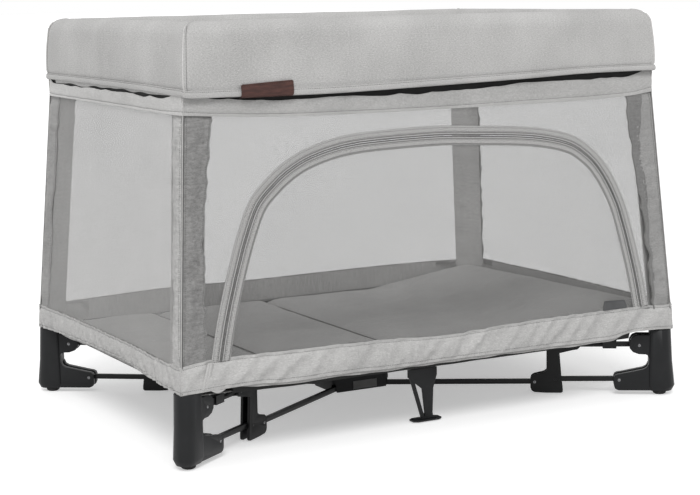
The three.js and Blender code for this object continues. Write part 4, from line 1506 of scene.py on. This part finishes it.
# rivets: (distance along the rod from the middle, height, half the distance between the two heads)
hardParts = {
    "corner_foot": {"look": "plastic", "bevel": 0.0011,
                    "rivets": [(0.519, 0.029, 0.0165), (0.557, 0.097, 0.0165)]},
    "foot_pad": {"look": "rubber", "bevel": 0.0006, "rivets": []},
    # the middle feet take the darker copy of the plastic, painted shade
    "mid_foot": {"look": "darkPlastic", "bevel": 0.0009, "rivets": [(0.3577, 0.023, 0.0096)]},
    "outer_rod": {"look": "steel", "bevel": 0.0007, "rivets": []},
    "outer_link": {"look": "steel", "bevel": 0.0007, "rivets": []},
    "inner_rod": {"look": "steel", "bevel": 0.0007, "rivets": []},
}
diagonal = math.atan2(0.337, 0.492)  # the rods' way from the middle to the corner feet
hub = {
    "bevel": 0.0012, "floor": 0.013, "plateX": (-0.020, 0.032), "plateZ": (0.016, 0.032), "plateY": -0.0468,
    "pinHeight": 0.092, "pinHalf": 0.0095, "pinY": 0.050, "legPinY": 0.266,
}


def addRods():
    for kind, part in hardParts.items():
        for corner in corners:
            signX = 1 if corner.endswith("right") else -1
            signY = 1 if corner.startswith("back") else -1
            along = Vector((signX * math.cos(diagonal), signY * math.sin(diagonal), 0))
            aside = Vector((-along.y, along.x, 0))
            places = [
                (along * reach + aside * face * half + Vector((0, 0, z)), aside * face)
                for reach, z, half in part["rivets"]
                for face in (-1, 1)
            ]
            node = f"{kind}_{corner}"
            refined(node, part["look"], part["bevel"], [rivets(f"{node}_rivets", places)] if places else [])


def crossPin(y):
    # the two heads of a pin along X
    return [(Vector((face * hub["pinHalf"], y, hub["pinHeight"])), Vector((face, 0, 0))) for face in (-1, 1)]


def addHub():
    def onPlate(x, z):
        return Vector((x, hub["plateY"], z))

    across, heights = steps(*hub["plateX"], 0.004), steps(*hub["plateZ"], 0.004)
    plate = gridPiece("hub_plate", across, heights, onPlate, "plate", 0.0012)
    pins = rivets("hub_rivets", crossPin(-hub["pinY"]) + crossPin(hub["pinY"]))
    # the hub is made in the darker copy of the plastic, painted shade
    refined("hub", "darkPlastic", hub["bevel"], [pins, plate], hub["floor"])
    for end, y in (("front", -hub["legPinY"]), ("back", hub["legPinY"])):
        refined(f"support_leg_{end}", "plastic", 0.0008, [rivets(f"support_leg_{end}_rivets", crossPin(y))])
        refined(f"side_arm_{end}", "steel", 0.0007)


def addWalls():
    for side in sides:
        panel = frontNet() if side == "front" else netPanel(side)
        crumple(panel, side, endAt(side, netSize["foldLevel"]) - netSize["foldShort"])
        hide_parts(f"{side}_wall")
        strips = [make(side) for make in (bottomBand, foldedEdge, upperBand, hookStrip, floorLedge)]
        for strip, half in strips:
            crumple(strip, side, half)
    for corner in corners:
        sleeve(corner)


def addDoor():
    outer = joinPieces("zip_outer_tape", [zipRibbon("zip_outer_tape", 1), zipGarage()])
    crumple(outer, "front", zipDoor["foldHalf"])
    panel, tape, hem = doorPieces()
    for piece in (panel, tape, hem):
        crumple(piece, "front", zipDoor["foldHalf"], "door")
    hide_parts("door_flap")


def coatNodes():
    # CAD parts that stay as they are, most of them inside the cloth
    kinds = {"mattress": "pad", "leather_tag": "leather", "corner_cap": "plastic", "rail_latch": "plastic"}
    for name, node in frame["nodes"].items():
        look = next((kinds[kind] for kind in kinds if name.startswith(kind)), "steel")
        node.data.materials.clear()
        node.data.materials.append(looks[look])


studio = {
    "sun": 1.6, "sunAngle": 24, "sunWay": (0.45, 0.75, -0.9), "sky": 0.66, "floor": 0.72, "seenFloor": 0.80,
    "floorGlow": 0.42,
}


def addStage():
    paint = Finish("floorPaint", Roughness=0.9, Specular_IOR_Level=0.1, Emission_Strength=studio["floorGlow"])
    seen = paint.isSeen()
    paint.feed(
        Base_Color=paint.blend(seen, grey(studio["floor"], 0), grey(studio["seenFloor"], 0)),
        Emission_Color=paint.blend(seen, grey(0, 0), grey(1, 0)),
    )
    mesh = bpy.data.meshes.new("floor")
    mesh.from_pydata([(-30, -30, 0), (30, -30, 0), (30, 60, 0), (-30, 60, 0)], [], [(0, 1, 2, 3)])
    mesh.materials.append(paint.owner)
    addObject("floor", mesh)
    sky = Recipe(bpy.data.worlds.new("studio"))
    bpy.context.scene.world = sky.owner
    level = sky.add("ShaderNodeMix", {"data_type": "FLOAT"}, {0: sky.isSeen(), 2: studio["sky"], 3: 1.0})
    light = sky.add("ShaderNodeBackground", {}, {"Color": (1, 1, 1), "Strength": level})
    addNode(sky.tree, "ShaderNodeOutputWorld", {}, {"Surface": light})
    lamp = bpy.data.lights.new("softLamp", "SUN")
    lamp.energy = studio["sun"]
    lamp.angle = math.radians(studio["sunAngle"])
    sun = addObject("softLamp", lamp)
    sun.rotation_euler = Vector(studio["sunWay"]).to_track_quat("-Z", "Y").to_euler()


addWalls()
addDoor()
print("walls and door made")
addCover()
leatherTag()
addLabel()
print("cover, tag and label made")
addMattress()
print("mattress made")
addRods()
addHub()
coatNodes()
print("feet, linkage and hub made")
addStage()
bpy.context.scene.view_settings.view_transform = "Standard"
